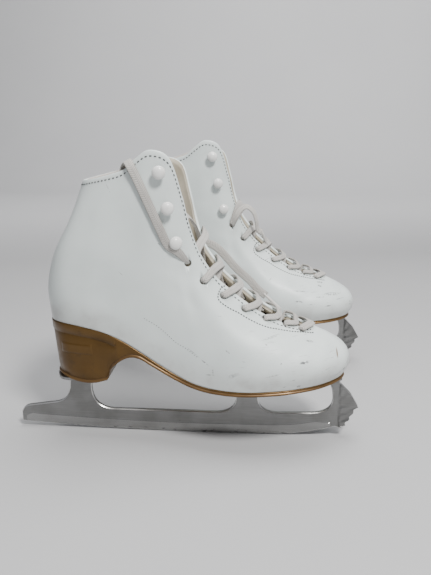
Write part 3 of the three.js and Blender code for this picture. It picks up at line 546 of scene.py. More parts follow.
def lace_material():
    """Flat woven cotton: chevrons along the lace, from its own length and width coordinates, with painted
    shade along both edges and down the middle.
    """
    s = Shader("lace_cotton")
    uv = s.node("ShaderNodeUVMap", {}, uv_map="ribbon").outputs["UV"]
    split = s.node("ShaderNodeSeparateXYZ", {"Vector": uv})
    along, across = split.outputs["X"], split.outputs["Y"]
    fold = s.math("ABSOLUTE", s.math("SUBTRACT", across, 0.5))
    ribs = s.math("SINE", s.times(s.math("ADD", along, s.times(fold, 4.0)), 4.2))
    threads = s.math("SINE", s.times(across, 62.0))
    weave = s.math("ADD", s.times(ribs, 0.6), s.times(threads, 0.4))
    color = s.mix(s.grey(weave, -0.9, 0.6), (0.4, 0.38, 0.35), (0.62, 0.6, 0.565))
    # painted shade: darker along both edges of the lace and in a thin line down its middle
    color = s.mix(s.grey(fold, 0.34, 0.5, 0, 0.5), color, (0.24, 0.22, 0.2))
    color = s.mix(s.grey(fold, 0.07, 0.0, 0, 0.35), color, (0.27, 0.25, 0.23))
    color = s.mix(s.patches(60, 4, 0.4, 0.75, 0, 0.5), color, (0.42, 0.39, 0.36))
    normal = s.bumps((s.noise(2600, 2), 0.4, 0.15), (weave, 0.6, 0.35))
    return s.finish(color, 0.93, normal, Sheen_Weight=0.3, Sheen_Roughness=0.5)


def plain_material(name, patches, light, dark, rough, grain, pores=None, **fixed):
    """Two tones in soft patches, with a fine grain (scale, detail, strength, depth in mm) and pores."""
    s = Shader(name)
    if isinstance(rough, tuple):
        rough = s.patches(*rough)
    layers = [(s.cells(pores[0]), *pores[1:])] if pores else []
    layers.append((s.noise(*grain[:2]), *grain[2:]))
    return s.finish(s.mix(s.patches(*patches), light, dark), rough, s.bumps(*layers), **fixed)


MATERIALS = {
    "leather_right": leather_material("right"),
    "leather_left": leather_material("left"),
    "lining": lining_material(),
    "lace": lace_material(),
    "flap_lining": plain_material("flap_lining", (40, 4, 0.35, 0.7), (0.42, 0.38, 0.3), (0.31, 0.27, 0.2),
                                  0.62, (800, 3, 0.25, 0.12), (1100, 0.2, 0.1)),
    "cut_edge": plain_material("cut_edge", (300, 4, 0.35, 0.65), (0.6, 0.5, 0.36), (0.45, 0.35, 0.23), 0.75,
                               (1600, 3, 0.5, 0.2)),
    "tongue": plain_material("tongue_leather", (28, 4, 0.35, 0.7), (0.7, 0.69, 0.66), (0.6, 0.585, 0.55), 0.6,
                             (700, 3, 0.3, 0.15), (1000, 0.25, 0.12)),
    # painted shade: the stitches are coloured near black for the shade in and around their holes
    "thread": plain_material("stitch_thread_painted_shade", (220, 2, 0.35, 0.7), (0.055, 0.057, 0.06), (0.11, 0.11, 0.11),
                             0.8, (3000, 2, 0.4, 0.1)),
    "backstay": plain_material("backstay", (90, 3, 0.35, 0.7), (0.2, 0.235, 0.24), (0.14, 0.17, 0.175), 0.5,
                               (1500, 2, 0.1, 0.06)),
    "aglet": plain_material("aglet_plastic", (90, 3, 0.35, 0.7), (0.62, 0.6, 0.57), (0.52, 0.5, 0.47), 0.35,
                            (1500, 2, 0.1, 0.06)),
    "board": plain_material("stiffener_board", (240, 4, 0.3, 0.7), (0.62, 0.55, 0.42), (0.5, 0.43, 0.32),
                            0.85, (900, 3, 0.4, 0.2)),
    "enamel": plain_material("white_enamel", (150, 3, 0.45, 0.75), (0.84, 0.84, 0.82), (0.76, 0.75, 0.72),
                             (260, 2, 0.3, 0.7, 0.16, 0.26), (500, 2, 0.04, 0.05),
                             Coat_Weight=0.4, Coat_Roughness=0.08),
    "floor": plain_material("pale_floor", (3, 3, 0.3, 0.7), (0.5, 0.5, 0.505), (0.485, 0.485, 0.492), 0.7,
                            (300, 2, 0.03, 0.3)),
    "sole": sole_material("gold_sole", (0.112, 0.058, 0.012), (0.09, 0.046, 0.009), 0.55),
    "bead": sole_material("gold_bead", (0.17, 0.095, 0.034), (0.125, 0.068, 0.024), 0.5),
    # painted shade: the sunken groove rows of the sole's wall are coloured near black
    "groove": sole_material("groove_painted_shade", (0.06, 0.032, 0.014), (0.045, 0.025, 0.011), 0.3),
    "steel": steel_material("blade_steel", 0.26, 0.28, 0.4),
    "mirror": steel_material("ground_steel", 0.36, 0.14, 0.24),
    # painted highlight: the edge bevels get a far brighter steel than the blade, standing in for glints along
    # its edges
    "bevel": steel_material("bevel_painted_highlight", 0.85, 0.3, 0.4),
    "plate": steel_material("plate_steel", 0.28, 0.3, 0.42),
    "screw": steel_material("screw_steel", 0.6, 0.2, 0.3),
}


# ---------- Camera, floor and light ----------

CAMERA_PLACE = (174.06, -499.96, 264.95)  # in the right skate's frame, mm
CAMERA_PITCH, CAMERA_TURN = 15.18, 4.27  # degrees
LENS = 40.07


def camera():
    data = bpy.data.cameras.new("camera")
    data.lens, data.sensor_width, data.clip_start = LENS, 36, 0.01
    obj = bpy.data.objects.new("camera", data)
    obj.location = place([CAMERA_PLACE], "right")[0]
    obj.rotation_euler = (math.radians(90 - CAMERA_PITCH), 0, math.radians(CAMERA_TURN))
    bpy.context.scene.collection.objects.link(obj)
    bpy.context.scene.camera = obj


def area_light(name, location, target, size, power, color=(1, 1, 1)):
    data = bpy.data.lights.new(name, "AREA")
    data.shape, data.size, data.size_y, data.energy, data.color = "RECTANGLE", size[0], size[1], power, color
    obj = bpy.data.objects.new(name, data)
    obj.location = location
    direction = np.array(target, float) - np.array(location, float)
    yaw, flat = math.atan2(direction[1], direction[0]), math.hypot(direction[0], direction[1])
    obj.rotation_euler = (math.pi / 2 - math.atan2(-direction[2], flat), 0, yaw - math.pi / 2)
    bpy.context.scene.collection.objects.link(obj)


def backdrop():
    """A floor that curves up into a wall well behind the skates."""
    near, bend, rise, top, half = -3.0, 1.6, 0.6, 3.2, 4.0
    profile = [(near, 0)] + [(bend + rise * math.sin(t), rise * (1 - math.cos(t)))
                             for t in np.linspace(0, math.pi / 2, 17)] + [(bend + rise, top)]
    verts = [(x, y, z - 0.0002) for y, z in profile for x in (-half, half)]
    faces = [(2 * k, 2 * k + 1, 2 * k + 3, 2 * k + 2) for k in range(len(profile) - 1)]
    mesh = bpy.data.meshes.new("floor")
    mesh.from_pydata(verts, [], faces)
    mesh.polygons.foreach_set("use_smooth", [True] * len(faces))
    mesh.materials.append(MATERIALS["floor"])
    floor = bpy.data.objects.new("floor", mesh)
    bpy.context.scene.collection.objects.link(floor)


def stage():
    backdrop()
    world = bpy.data.worlds.new("studio")
    world.use_nodes = True
    world.node_tree.nodes["Background"].inputs["Color"].default_value = (0.93, 0.95, 1.0, 1)
    world.node_tree.nodes["Background"].inputs["Strength"].default_value = 0.3
    bpy.context.scene.world = world
    area_light("top", (0.15, 0.0, 1.3), (0.05, 0, 0.1), (0.7, 0.7), 13)
    area_light("key", (0.55, -0.95, 1.35), (0.03, -0.05, 0.12), (0.3, 0.3), 33, (1, 0.99, 0.97))
    area_light("back", (0.2, 1.1, 1.0), (0.0, 2.2, 0.5), (2.4, 0.9), 26)


# ---------- The lace ----------

LACE_OUT = 1.25  # centre of the lace above the leather
EDGE_SHIFT = 0.5  # stations between an eyelet and where its lace crosses the edge
INSIDE_LIFT = 7
MEDIAL_END = {
    "right": [(178, 24, 116), (170.4, 26, 121.5), (164.3, 27, 128), (152.3, 28.5, 138.5), (141.6, 30, 150),
              (135.6, 31, 155.5), (127.2, 32.5, 159)],
    "left": [(148.7, 22, 147), (144.5, 25, 150.5), (143, 27, 160), (139.5, 28.5, 169.5), (133, 30, 174.5),
             (127, 31.5, 172), (122.5, 34, 165)],
}
LATERAL_END = {
    "right": [(111.5, -35.6, 165.2), (104.4, -36.9, 170.2), (99, -38.6, 182), (91.7, -39.8, 199.3),
              (82, -39.5, 221), (77.8, -38.6, 229), (75, -34.8, 232), (71.5, -30, 228), (68.5, -27.3, 216),
              (67, -26, 198), (72, -26, 162), (84, -24, 122), (100, -24, 92), (112, -20, 79)],
    "left": [(113, -28, 148), (106, -27, 130), (104, -25, 105), (107, -23, 88), (114, -19, 78)],
}
AGLET = [(0.9, 0), (1.25, 0.6), (1.3, 8), (1.3, 17), (1.1, 19.5), (0.5, 20)]  # radius and distance along, mm
HANK_FROM, HANK_TO, HANK_Y, HANK_HALF, HANK_LOW = 122, 214, -15.5, 6.5, 66.4
HANK_TURNS = {"right": 4, "left": 5}
HANK_LEVEL, HANK_STEP = HANK_LOW + LACE_WIDTH / 2 + 0.15, 4.7
HANK_PITCH, HANK_TIGHTEST, TURN_STEPS = 1.25, 0.9, 8


def lace_stops(side, index, open_side):
    """Places and flat directions of the lace by one eyelet."""
    u, v = seat(side, EYELETS[index])
    w = side * u
    at = on_boot(w, v, open_side)
    normal = boot_normal(w, v, open_side)

    def by_edge(shift, height):
        edge = on_boot(side * (u + shift), 1.0, open_side)
        edge_normal = boot_normal(side * (u + shift), 1.0, open_side)
        inwards = up_the_boot(side * (u + shift), 1.0, open_side)
        return edge + inwards * 1.6 + edge_normal * height, edge_normal
    return {"out": (at + normal * LACE_OUT, normal), "hole": (at - normal * EDGE_DEPTH / 2, None),
            "in": (at - normal * (EDGE_DEPTH + LACE_OUT), normal),
            "over": by_edge(EDGE_SHIFT, LACE_OUT + 0.5), "under": by_edge(-0.15, -EDGE_DEPTH - 0.7)}


def strand(first_side, open_side, lift, starts_inside=False):
    """One strand from the first eyelet down to the throat, as (place, flat direction, bunching)."""
    stops = []
    for index in range(len(EYELETS) - 1):
        side = -first_side if index % 2 else first_side
        tight = 0.14 * index  # the strands get tighter and narrower towards the toe
        here, there = lace_stops(side, index, open_side), lace_stops(-side, index + 1, open_side)
        if starts_inside and index == 0:
            middle = (here["under"][0] + there["under"][0]) / 2 + [0, 0, INSIDE_LIFT]
            stops += [(*here["hole"], 1), (*here["in"], 0.5), (*here["under"], 0)]
        else:
            middle = here["over"][0] * 0.45 + there["under"][0] * 0.55
            middle = middle + np.array([0.6, 0, 0.8]) * lift * (1 - tight)
            stops += [(*here["out"], 0.3 + tight * 0.6), (*here["over"], tight)]
        stops += [(middle, np.array([0.55, 0, 0.83]), tight), (*there["under"], tight),
                  (*there["in"], 0.5 + tight * 0.5), (*there["hole"], 1)]
    last = -first_side if (len(EYELETS) - 1) % 2 else first_side
    stops.append((*lace_stops(last, len(EYELETS) - 1, open_side)["out"], 0.3))
    return stops


def hank_points(turns):
    """The stored length: upright turns inside each other in a long oval, at two heights by turns."""
    points = []
    level = HANK_LEVEL
    for turn in range(turns):
        radius = max(HANK_TIGHTEST, HANK_HALF - 0.8 - HANK_PITCH * turn)
        before, level = level, HANK_LEVEL + HANK_STEP * (turn % 2)
        for centre, start in ((HANK_TO - HANK_HALF, -0.5), (HANK_FROM + HANK_HALF, 0.5)):
            for k in range(TURN_STEPS + 1):
                angle = math.pi * (start + k / TURN_STEPS)
                height = before + (level - before) * k / TURN_STEPS if start < 0 else level
                points.append((centre + radius * math.cos(angle), HANK_Y + radius * math.sin(angle), height))
    return points


def lace_line(foot, open_side):
    """The lace from its stored end to its free tip, as stops of (place, flat direction, bunching)."""
    def loose(points, direction=None):
        return [(np.array(p, float), direction, 0) for p in points]
    down = strand(MEDIAL, open_side, 7.5)
    down[0] = (*down[0][:2], 0.4)
    up = strand(LATERAL, open_side, 5.5, foot == "right")[::-1]
    bar = on_boot(THROAT - 0.6, 1.0, open_side)
    bar = np.array([bar[0] + 1, foot_middle(bar[0]), bar[2] + LACE_OUT + 1.2])
    first = lace_stops(LATERAL, 0, open_side)
    turn_in = [(*first["hole"], 1), (*first["in"], 0.5)] if foot == "left" else []
    hank = loose(hank_points(HANK_TURNS[foot]), np.array([0, 1.0, 0.0]))
    route = (loose(MEDIAL_END[foot]) + down + [(bar, np.array([0.3, 0, 0.95]), 0)] + up + turn_in
             + loose(LATERAL_END[foot]) + hank)
    return route[::-1]


def transported(tangents, start):
    """A direction carried along a line without twisting."""
    normals = [unit(start - tangents[0] * np.dot(start, tangents[0]))]
    for tangent in tangents[1:]:
        last = normals[-1]
        normals.append(unit(last - tangent * np.dot(last, tangent)))
    return np.array(normals)


def dense_curve(stops, step=1.6):
    """Points every step mm on a smooth curve through the stops, with each stop's index."""
    points = np.array([stop[0] for stop in stops])
    ends = np.vstack([2 * points[0] - points[1], points, 2 * points[-1] - points[-2]])
    line, marks = [], []
    for i in range(1, len(ends) - 2):
        p0, p1, p2, p3 = ends[i - 1:i + 3]
        d01, d12, d23 = (max(1e-3, np.linalg.norm(b - a)) ** 0.5 for a, b in ((p0, p1), (p1, p2), (p2, p3)))
        m1 = (p2 - p1) + d12 * ((p1 - p0) / d01 - (p2 - p0) / (d01 + d12))
        m2 = (p2 - p1) + d12 * ((p3 - p2) / d23 - (p3 - p1) / (d12 + d23))
        count = max(2, int(np.linalg.norm(p2 - p1) / step))
        t = (np.arange(count) / count)[:, None]
        marks.append(sum(len(part) for part in line))
        line.append((2 * t ** 3 - 3 * t ** 2 + 1) * p1 + (t ** 3 - 2 * t ** 2 + t) * m1
                    + (3 * t ** 2 - 2 * t ** 3) * p2 + (t ** 3 - t ** 2) * m2)
    marks.append(sum(len(part) for part in line))
    return np.vstack(line + [points[-1:]]), marks


def lace(foot, open_side):
    stops = lace_line(foot, open_side)
    line, marks = dense_curve(stops)
    tangents = unit(np.gradient(line, axis=0))
    base = transported(tangents, np.array([0.0, 1, 0.2]))
    side = np.cross(tangents, base)
    angles, places, last = [], [], 0.0
    for (_, wanted, _), mark in zip(stops, marks):
        if wanted is None:
            continue
        angle = math.atan2(np.dot(wanted, side[mark]), np.dot(wanted, base[mark]))
        last = angle + math.pi * round((last - angle) / math.pi)
        angles.append(last)
        places.append(mark)
    twist = np.interp(np.arange(len(line)), places, angles)[:, None]
    flat = np.cos(twist) * base + np.sin(twist) * side
    wide = np.cross(tangents, flat)
    bunch = np.interp(np.arange(len(line)), marks, [stop[2] for stop in stops])[:, None]
    half_width = LACE_WIDTH / 2 * (1 - 0.42 * bunch)
    half_thick = LACE_THICK / 2 * (1 + 0.35 * bunch)
    sides = 12
    angle = (np.arange(sides) + 0.5) / sides * 2 * math.pi
    across = np.sign(np.cos(angle)) * np.abs(np.cos(angle)) ** 0.7
    height = np.sign(np.sin(angle)) * np.abs(np.sin(angle)) ** 0.7
    rings = (line[:, None] + across[None, :, None] * (wide * half_width)[:, None]
             + height[None, :, None] * (flat * half_thick)[:, None])
    faces = loft_faces(len(line), sides)
    obj = new_object(f"{foot}_lace_ribbon", rings.reshape(-1, 3), faces, foot, MATERIALS["lace"])
    length = run_along(line)
    uv = obj.data.uv_layers.new(name="ribbon")
    vertex = np.zeros(len(obj.data.loops), int)
    obj.data.loops.foreach_get("vertex_index", vertex)
    coords = np.stack([length[vertex // sides], (across[vertex % sides] + 1) / 2], 1)
    uv.data.foreach_set("uv", coords.ravel())
    settle(obj, foot, "lace_cotton", "lace", "lace_hank")
    direction = unit(line[-1] - line[-12])
    tip = turned(AGLET, line[-1] - direction * 3, direction, 14)
    aglet = new_object(f"{foot}_aglet", *tip, foot, MATERIALS["aglet"])
    settle(aglet, foot, "lace_cotton")


# ---------- The leather ----------

STITCH_INSET = 3.6  # mm from the edge of the opening


def boot_columns(per_station):
    return np.arange(-TOE * per_station, TOE * per_station) / per_station


def boot_layer(name, foot, open_side, columns, rows, top, bottom, rim, material):
    """A closed layer of the boot between two depths, rounded over at the opening."""
    outer = [(v, top(v), 0.0) for v in rows]
    thick = bottom(1.0) - top(1.0)
    over = [(1.0, top(1.0) + thick * share, height)
            for share, height in ((0.12, 0.55), (0.5, 1.0), (0.88, 0.55))]
    ring = outer + over + [(v, bottom(v), 0.0) for v in rows[::-1]]
    v, depth, rise = np.array(ring).T
    w, vv = np.meshgrid(columns, v, indexing="ij")
    rise = rise[None, :] * rim(np.abs(columns))[:, None]
    points = inside_boot(w, vv, np.broadcast_to(depth, w.shape), open_side, rise)
    on_sole = np.broadcast_to(v == 0, w.shape)
    points[..., 2] = np.where(on_sole, smooth_line(SOLE_TOP, points[..., 0]) + 0.25, points[..., 2])
    past = np.abs(columns) >= THROAT - 1e-6

    def closed_at_toe(i, k):
        return len(outer) - 1 <= k < len(outer) + len(over) and past[i] and past[(i + 1) % len(columns)]
    faces = loft_faces(len(columns), len(ring), closed=True, skip=closed_at_toe)
    obj = new_object(f"{foot}_{name}", points.reshape(-1, 3), faces, foot, MATERIALS[material])
    return tidy_mesh(obj, 2e-6)


def local_points(obj, foot):
    points = np.zeros(len(obj.data.vertices) * 3)
    obj.data.vertices.foreach_get("co", points)
    points = (points.reshape(-1, 3) - HEEL[foot]) * 1000
    return points * [1, -1, 1] if foot == "left" else points


# Soft folds at the ankle and on the flaps: middle (x, z), angle, length, width and depth
CREASES = [
    (103, 186, 20, 16, 2.4, 0.5), (106, 208, 12, 12, 2.0, 0.35), (112, 150, -20, 22, 4, 0.6),
    (118, 128, -32, 26, 5, 0.5), (60, 128, 8, 40, 9, 0.5), (35, 170, 75, 40, 10, 0.4),
    (205, 88, 25, 22, 3, 0.3), (222, 90, 60, 14, 2.5, 0.25),
]


def crease(obj, foot):
    """Presses the soft folds into the leather."""
    points = local_points(obj, foot)
    normals = np.zeros(points.size)
    obj.data.vertices.foreach_get("normal", normals)
    normals = normals.reshape(-1, 3) * ([1, -1, 1] if foot == "left" else [1, 1, 1])
    folds = 0
    for x, z, angle, length, width, depth in CREASES:
        c, s = math.cos(math.radians(angle)), math.sin(math.radians(angle))
        along = (points[:, 0] - x) * c + (points[:, 2] - z) * s
        over = (points[:, 2] - z) * c - (points[:, 0] - x) * s
        folds = folds - depth * np.exp(-(along / length) ** 2 - (over / width) ** 2)
    obj.data.vertices.foreach_set("co", place(points + normals * folds[:, None], foot).ravel())
    obj.data.update()


def masks(obj, foot):
    """Where the leather is grimy and darkened by painted shade near the sole, worn or marked."""
    x, y, z = local_points(obj, foot).T
    above = z - smooth_line(SOLE_TOP, x)
    camera_side = LATERAL if foot == "right" else MEDIAL
    wear = smoothstep(x, 110, 190) * (1 - smoothstep(z, 95, 135)) + 0.35 * (1 - smoothstep(above, 0, 30))
    values = {"low": 1 - smoothstep(above, 2, 26), "wear": np.minimum(wear, 1),
              "seen": (camera_side * y > 0) & (np.abs(y - foot_middle(x)) > 8)}
    for name, value in values.items():
        obj.data.attributes.new(name, "FLOAT", "POINT").data.foreach_set("value", value.astype(np.float32))


def eyelet_holes(obj, foot, open_side, radius, depth):
    """Cuts the eyelets through a layer of the boot."""
    parts = [turned([(radius, -depth), (radius, 4)], *boot_at(side, eyelet, open_side), 16)
             for side in (LATERAL, MEDIAL) for eyelet in EYELETS]
    cut_away(obj, foot, parts, "cut_edge")


def upper(foot, open_side):
    rows = [0, 0.012, 0.03, *np.linspace(0.06, 0.94, 34), 0.965, 0.985, 1.0]
    obj = boot_layer("boot_upper", foot, open_side, boot_columns(6), rows, lambda v: 0.0, lambda v: LEATHER,
                     lambda u: 0.7 + 0 * u, f"leather_{foot}")
    crease(obj, foot)
    eyelet_holes(obj, foot, open_side, 2.8, 7)
    masks(obj, foot)
    settle(obj, foot, "white_leather", "upper")


def lining(foot, open_side):
    """The padded lining: thick at the heel and collar, thin along the facings."""
    def padding(v):
        return 1 - float(smoothstep(v, 0.55, 0.85))

    def collar_roll(u):
        return 2.4 - 2.8 * smoothstep(u, 4.2, 6.2)
    rows = [0, 0.03, *np.linspace(0.08, 0.94, 22), 0.975, 1.0]
    obj = boot_layer("boot_lining", foot, open_side, boot_columns(4), rows,
                     lambda v: LEATHER + 0.3 + 1.4 * padding(v), lambda v: EDGE_DEPTH + 2.3 * padding(v),
                     collar_roll, "lining")
    eyelet_holes(obj, foot, open_side, 2.9, 9)
    obj.data.materials.append(MATERIALS["flap_lining"])
    points = local_points(obj, foot)
    for polygon in obj.data.polygons:
        x, _, z = points[list(polygon.vertices)].mean(0)
        if x > 88 + (215 - z) * 0.22:
            polygon.material_index = len(obj.data.materials) - 1
    settle(obj, foot, "lining_fabric", "lining")


def capsule(start, end, normal, width, height):
    """One stitch: a short rounded bar that sinks at both ends."""
    axis = end - start
    side = unit(np.cross(axis, normal))
    rings = []
    for t, share in ((0, 0.35), (0.18, 0.9), (0.5, 1.0), (0.82, 0.9), (1, 0.35)):
        centre = start + axis * t + normal * (height * (share - 0.55))
        for k in range(6):
            angle = k / 6 * 2 * math.pi
            rings.append(centre + share * (width / 2 * math.cos(angle) * side
                                           + height / 2 * math.sin(angle) * normal))
    return np.array(rings), loft_faces(5, 6)


def stitches_along(ws, vs, open_side, inset, pitch=3.4, length=2.1, width=0.9, height=0.5):
    """Stitches along a line on the boot, given densely in (w, v), moved back from it by an inset."""
    points = on_boot(ws, vs, open_side)
    normals = boot_normal(ws, vs, open_side)
    if inset:
        points = points - up_the_boot(ws, vs, open_side) * inset
        normals = boot_normal(ws, np.clip(np.asarray(vs) - 0.03, 0, 1), open_side)
    run = run_along(points)
    parts = []
    for start in np.arange(0.4, run[-1] - length, pitch):
        first, last = (np.array([np.interp(s, run, column) for column in points.T])
                       for s in (start, start + length))
        normal = unit(np.array([np.interp(start, run, column) for column in normals.T]))
        parts.append(capsule(first, last, normal, width, height))
    return parts


FACING_SEAM = [(146.5, 136.5), (143.4, 135.4), (141.3, 132.8), (140.7, 129.4), (142.4, 126), (149, 120.9),
               (156.5, 116.6), (165, 111.2), (172.9, 107), (181, 103.6), (189.2, 101.2), (200.2, 98.4),
               (210, 96.4), (217, 95)]
ARCH_SEAM = [(83, 112), (96.5, 104), (110.5, 92.5), (126, 83)]


def seam(side, line, **limits):
    """A seam through places on one side, densely, in stations and shares of height."""
    spots = np.array([seat(side, p, **limits) for p in line])
    ends = np.vstack([2 * spots[0] - spots[1], spots, 2 * spots[-1] - spots[-2]])
    t = np.linspace(0, len(spots) - 1.001, 200)
    k = t.astype(int)
    w, v = sum(weights(t - k)[:, i, None] * ends[k + i] for i in range(4)).T
    return side * w, np.clip(v, 0, 1)


def stitching(foot, open_side):
    around = np.linspace(-(THROAT - 0.6), THROAT - 0.6, 900)
    parts = stitches_along(around, np.ones(900), open_side, STITCH_INSET)
    for side in (LATERAL, MEDIAL):
        parts += stitches_along(*seam(side, FACING_SEAM), open_side, 0, 2.4, 1.75, 1.0, 0.5)
        arch = seam(side, ARCH_SEAM, low=(3, 0.05), high=(12, 0.5))
        parts += stitches_along(*arch, open_side, 0, 2.2, 0.9, 0.45, 0.3)
    settle(new_object(f"{foot}_stitching", *joined(parts), foot, MATERIALS["thread"]), foot, "white_leather")


BACK_STRIP = [(-1, -0.1), (-0.8, 0.45), (0, 0.6), (0.8, 0.45), (1, -0.1)]  # share of its half width, and lift
BACK_STRIP_HALF = 0.16  # in stations


def back_seam(foot, open_side):
    """The narrow strip that covers the seam down the back of the boot."""
    v = np.linspace(0.02, 0.985, 60)
    outwards = boot_normal(0, v, open_side)
    section = BACK_STRIP + [(share, -0.5) for share, _ in BACK_STRIP[::-1]]
    rings = [on_boot(share * BACK_STRIP_HALF, v, open_side) + outwards * lift for share, lift in section]
    part = (np.stack(rings, 1).reshape(-1, 3), loft_faces(len(v), len(section)))
    piece(foot, "back_strip", [part], "backstay", "white_leather", merge=2e-6)


# ---------- Tongue, footbed ----------

TONGUE = [  # station, half width, depth at the middle, depth at the sides
    (17.6, 9, 12.5, 15.5), (16.6, 12, 11, 14.5), (15.4, 17, 8.5, 14), (14, 21, 7, 14), (12.6, 24, 6.5, 14.5),
    (11.4, 24, 6.5, 15), (10.6, 21.5, 6.5, 14), (10.0, 17.5, 6.5, 10.5), (9.4, 18.2, 6.5, 9.8),
    (8.7, 20.2, 7, 10.4), (8.3, 20.9, 7.1, 10.7), (8.0, 20.6, 7.2, 10.8), (7.75, 19.4, 7.3, 10.9),
    (7.55, 17.5, 7.4, 10.6), (7.38, 14.8, 7.5, 10.2), (7.26, 11.6, 7.6, 9.6), (7.18, 7.8, 7.6, 8.8),
    (7.14, 3.5, 7.6, 8),
]


TONGUE_THICK, TONGUE_ROWS = 4.4, 90
QUILT_AT, QUILT_DEPTH = 0.78, 0.35  # the sewn channels: share of the half width, and mm


def tongue(foot):
    """The padded tongue, which follows the opening a little way inside it."""
    t = np.linspace(0, len(TONGUE) - 1, TONGUE_ROWS)
    u, half, middle, sides = (np.interp(t, range(len(TONGUE)), column)[:, None]
                              for column in np.array(TONGUE).T)
    edge = on_boot(-u, 1.0)
    along = on_boot(-u - 0.3, 1.0) - on_boot(-u + 0.3, 1.0)
    out = unit(np.stack([-along[..., 2], np.zeros(u.shape), along[..., 0]], -1))
    out *= np.sign(out[..., :1] + out[..., 2:])
    shares = np.linspace(-1, 1, 25)
    puff = 0.5 * (1 - np.abs(shares) ** 6) ** 0.5
    quilt = -QUILT_DEPTH * np.exp(-((np.abs(shares) - QUILT_AT) / 0.05) ** 2)
    depth = middle + (sides - middle) * shares ** 4
    tip = np.minimum(1, (TONGUE_ROWS - 1 - np.arange(TONGUE_ROWS)) / 9 + 0.08)[:, None] ** 0.5
    thick = TONGUE_THICK * np.maximum(0.25, (1 - np.abs(shares) ** 8) ** 0.5) * tip
    base = edge + np.zeros((1, len(shares), 1))
    base[..., 1] = foot_middle(edge[..., 0]) + shares * half
    front = base - out * (depth + 0.6 - puff - quilt)[..., None]
    back = base - out * (depth + thick)[..., None]
    rings = np.concatenate([front, back[:, ::-1]], 1)
    obj = new_object(f"{foot}_padded_tongue", rings.reshape(-1, 3), loft_faces(*rings.shape[:2]), foot,
                     MATERIALS["tongue"])
    tidy_mesh(obj, 1e-7)
    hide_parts(f"{foot}_tongue_base", f"{foot}_tongue")
    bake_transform(obj)


FOOTBED_TOP, FOOTBED_THICK, FOOTBED_INSET = 108.4, 3.6, 9.0
BOARD_THICK = 2.4


def footbed(foot):
    """The footbed: a moulded sheet with a flat heel seat, over the lasting board."""
    columns = np.linspace(9.6, 234.2, 110)
    outline = np.array(SOLE_OUTLINE, float)
    steps = np.linspace(0, len(outline) - 1, 800)
    x, y = (np.interp(steps, range(len(outline)), column) for column in outline.T)
    half = np.array([max(2.5, min((y - np.sqrt(np.maximum(0, FOOTBED_INSET ** 2 - (x - at) ** 2)))
                                  [np.abs(x - at) < FOOTBED_INSET])) for at in columns])
    low = smooth_line(SOLE_TOP, columns) + BOARD_THICK
    front = np.minimum(FOOTBED_TOP, low + FOOTBED_THICK)
    high = FOOTBED_TOP + (front - FOOTBED_TOP) * smoothstep(columns, 36, 48)
    shares = np.linspace(-1, 1, 17)
    rounded = 0.9 * np.exp(-((np.abs(shares) - 1) / 0.05) ** 2)
    top = np.zeros((len(columns), len(shares), 3))
    top[..., 0] = columns[:, None]
    top[..., 1] = foot_middle(columns)[:, None] + half[:, None] * shares
    base = top.copy()
    top[..., 2] = high[:, None] - rounded
    base[..., 2] = low[:, None]
    rings = np.concatenate([top, base[:, ::-1]], 1)
    piece(foot, "insole", [(rings.reshape(-1, 3), loft_faces(*rings.shape[:2]))], "lining", "lining_fabric",
          "footbed", merge=1e-7)


# ---------- Sole ----------

def sole_outline(samples):
    """The sole's plan from heel to toe: x and half width at even steps along its edge."""
    outline = np.array(SOLE_OUTLINE, float)
    ends = np.vstack([outline[1] * [1, -1], outline, outline[-2] * [1, -1]])
    points = []
    for i in range(1, len(ends) - 2):
        t = np.linspace(0, 1, 24, endpoint=False)
        wt = weights(t)
        points.append(wt @ ends[i - 1:i + 3])
    points = np.vstack(points + [outline[-1:]])
    run = run_along(points)
    s = np.linspace(0, run[-1], samples)
    return np.interp(s, run, points[:, 0]), np.maximum(0, np.interp(s, run, points[:, 1]))


# Rows of the sole's wall, from its top edge or, in the last list, from its bottom: distance, how far it
# stands out, and finish. The sunken groove rows are coloured near black: painted shade in the recess.
WALL_FROM_TOP = [(0.0, -0.9, "sole"), (0.35, -0.15, "sole"), (1.0, 0.0, "sole")]
HEEL_BAND = [(7.6, 0.0, "sole"), (8.0, -0.7, "groove"), (8.9, -0.7, "sole"), (9.4, -0.45, "sole")]
WALL_FROM_BOTTOM = [(3.1, -0.55, "sole"), (2.75, -0.75, "groove"), (2.4, 0.05, "bead"), (1.9, 0.5, "bead"),
                    (1.2, 0.65, "bead"), (0.55, 0.45, "bead"), (0.15, 0.0, "bead"), (0.0, -0.6, "bead")]

WALL_EDGE, BAND_LOW, BEAD_TOP, SOLE_EDGE = 1.0, 8.4, 3.1, 4.3
HEEL_RAKE, RAKE_END = 4, 45  # how far the heel's back leans forward at its foot, mm


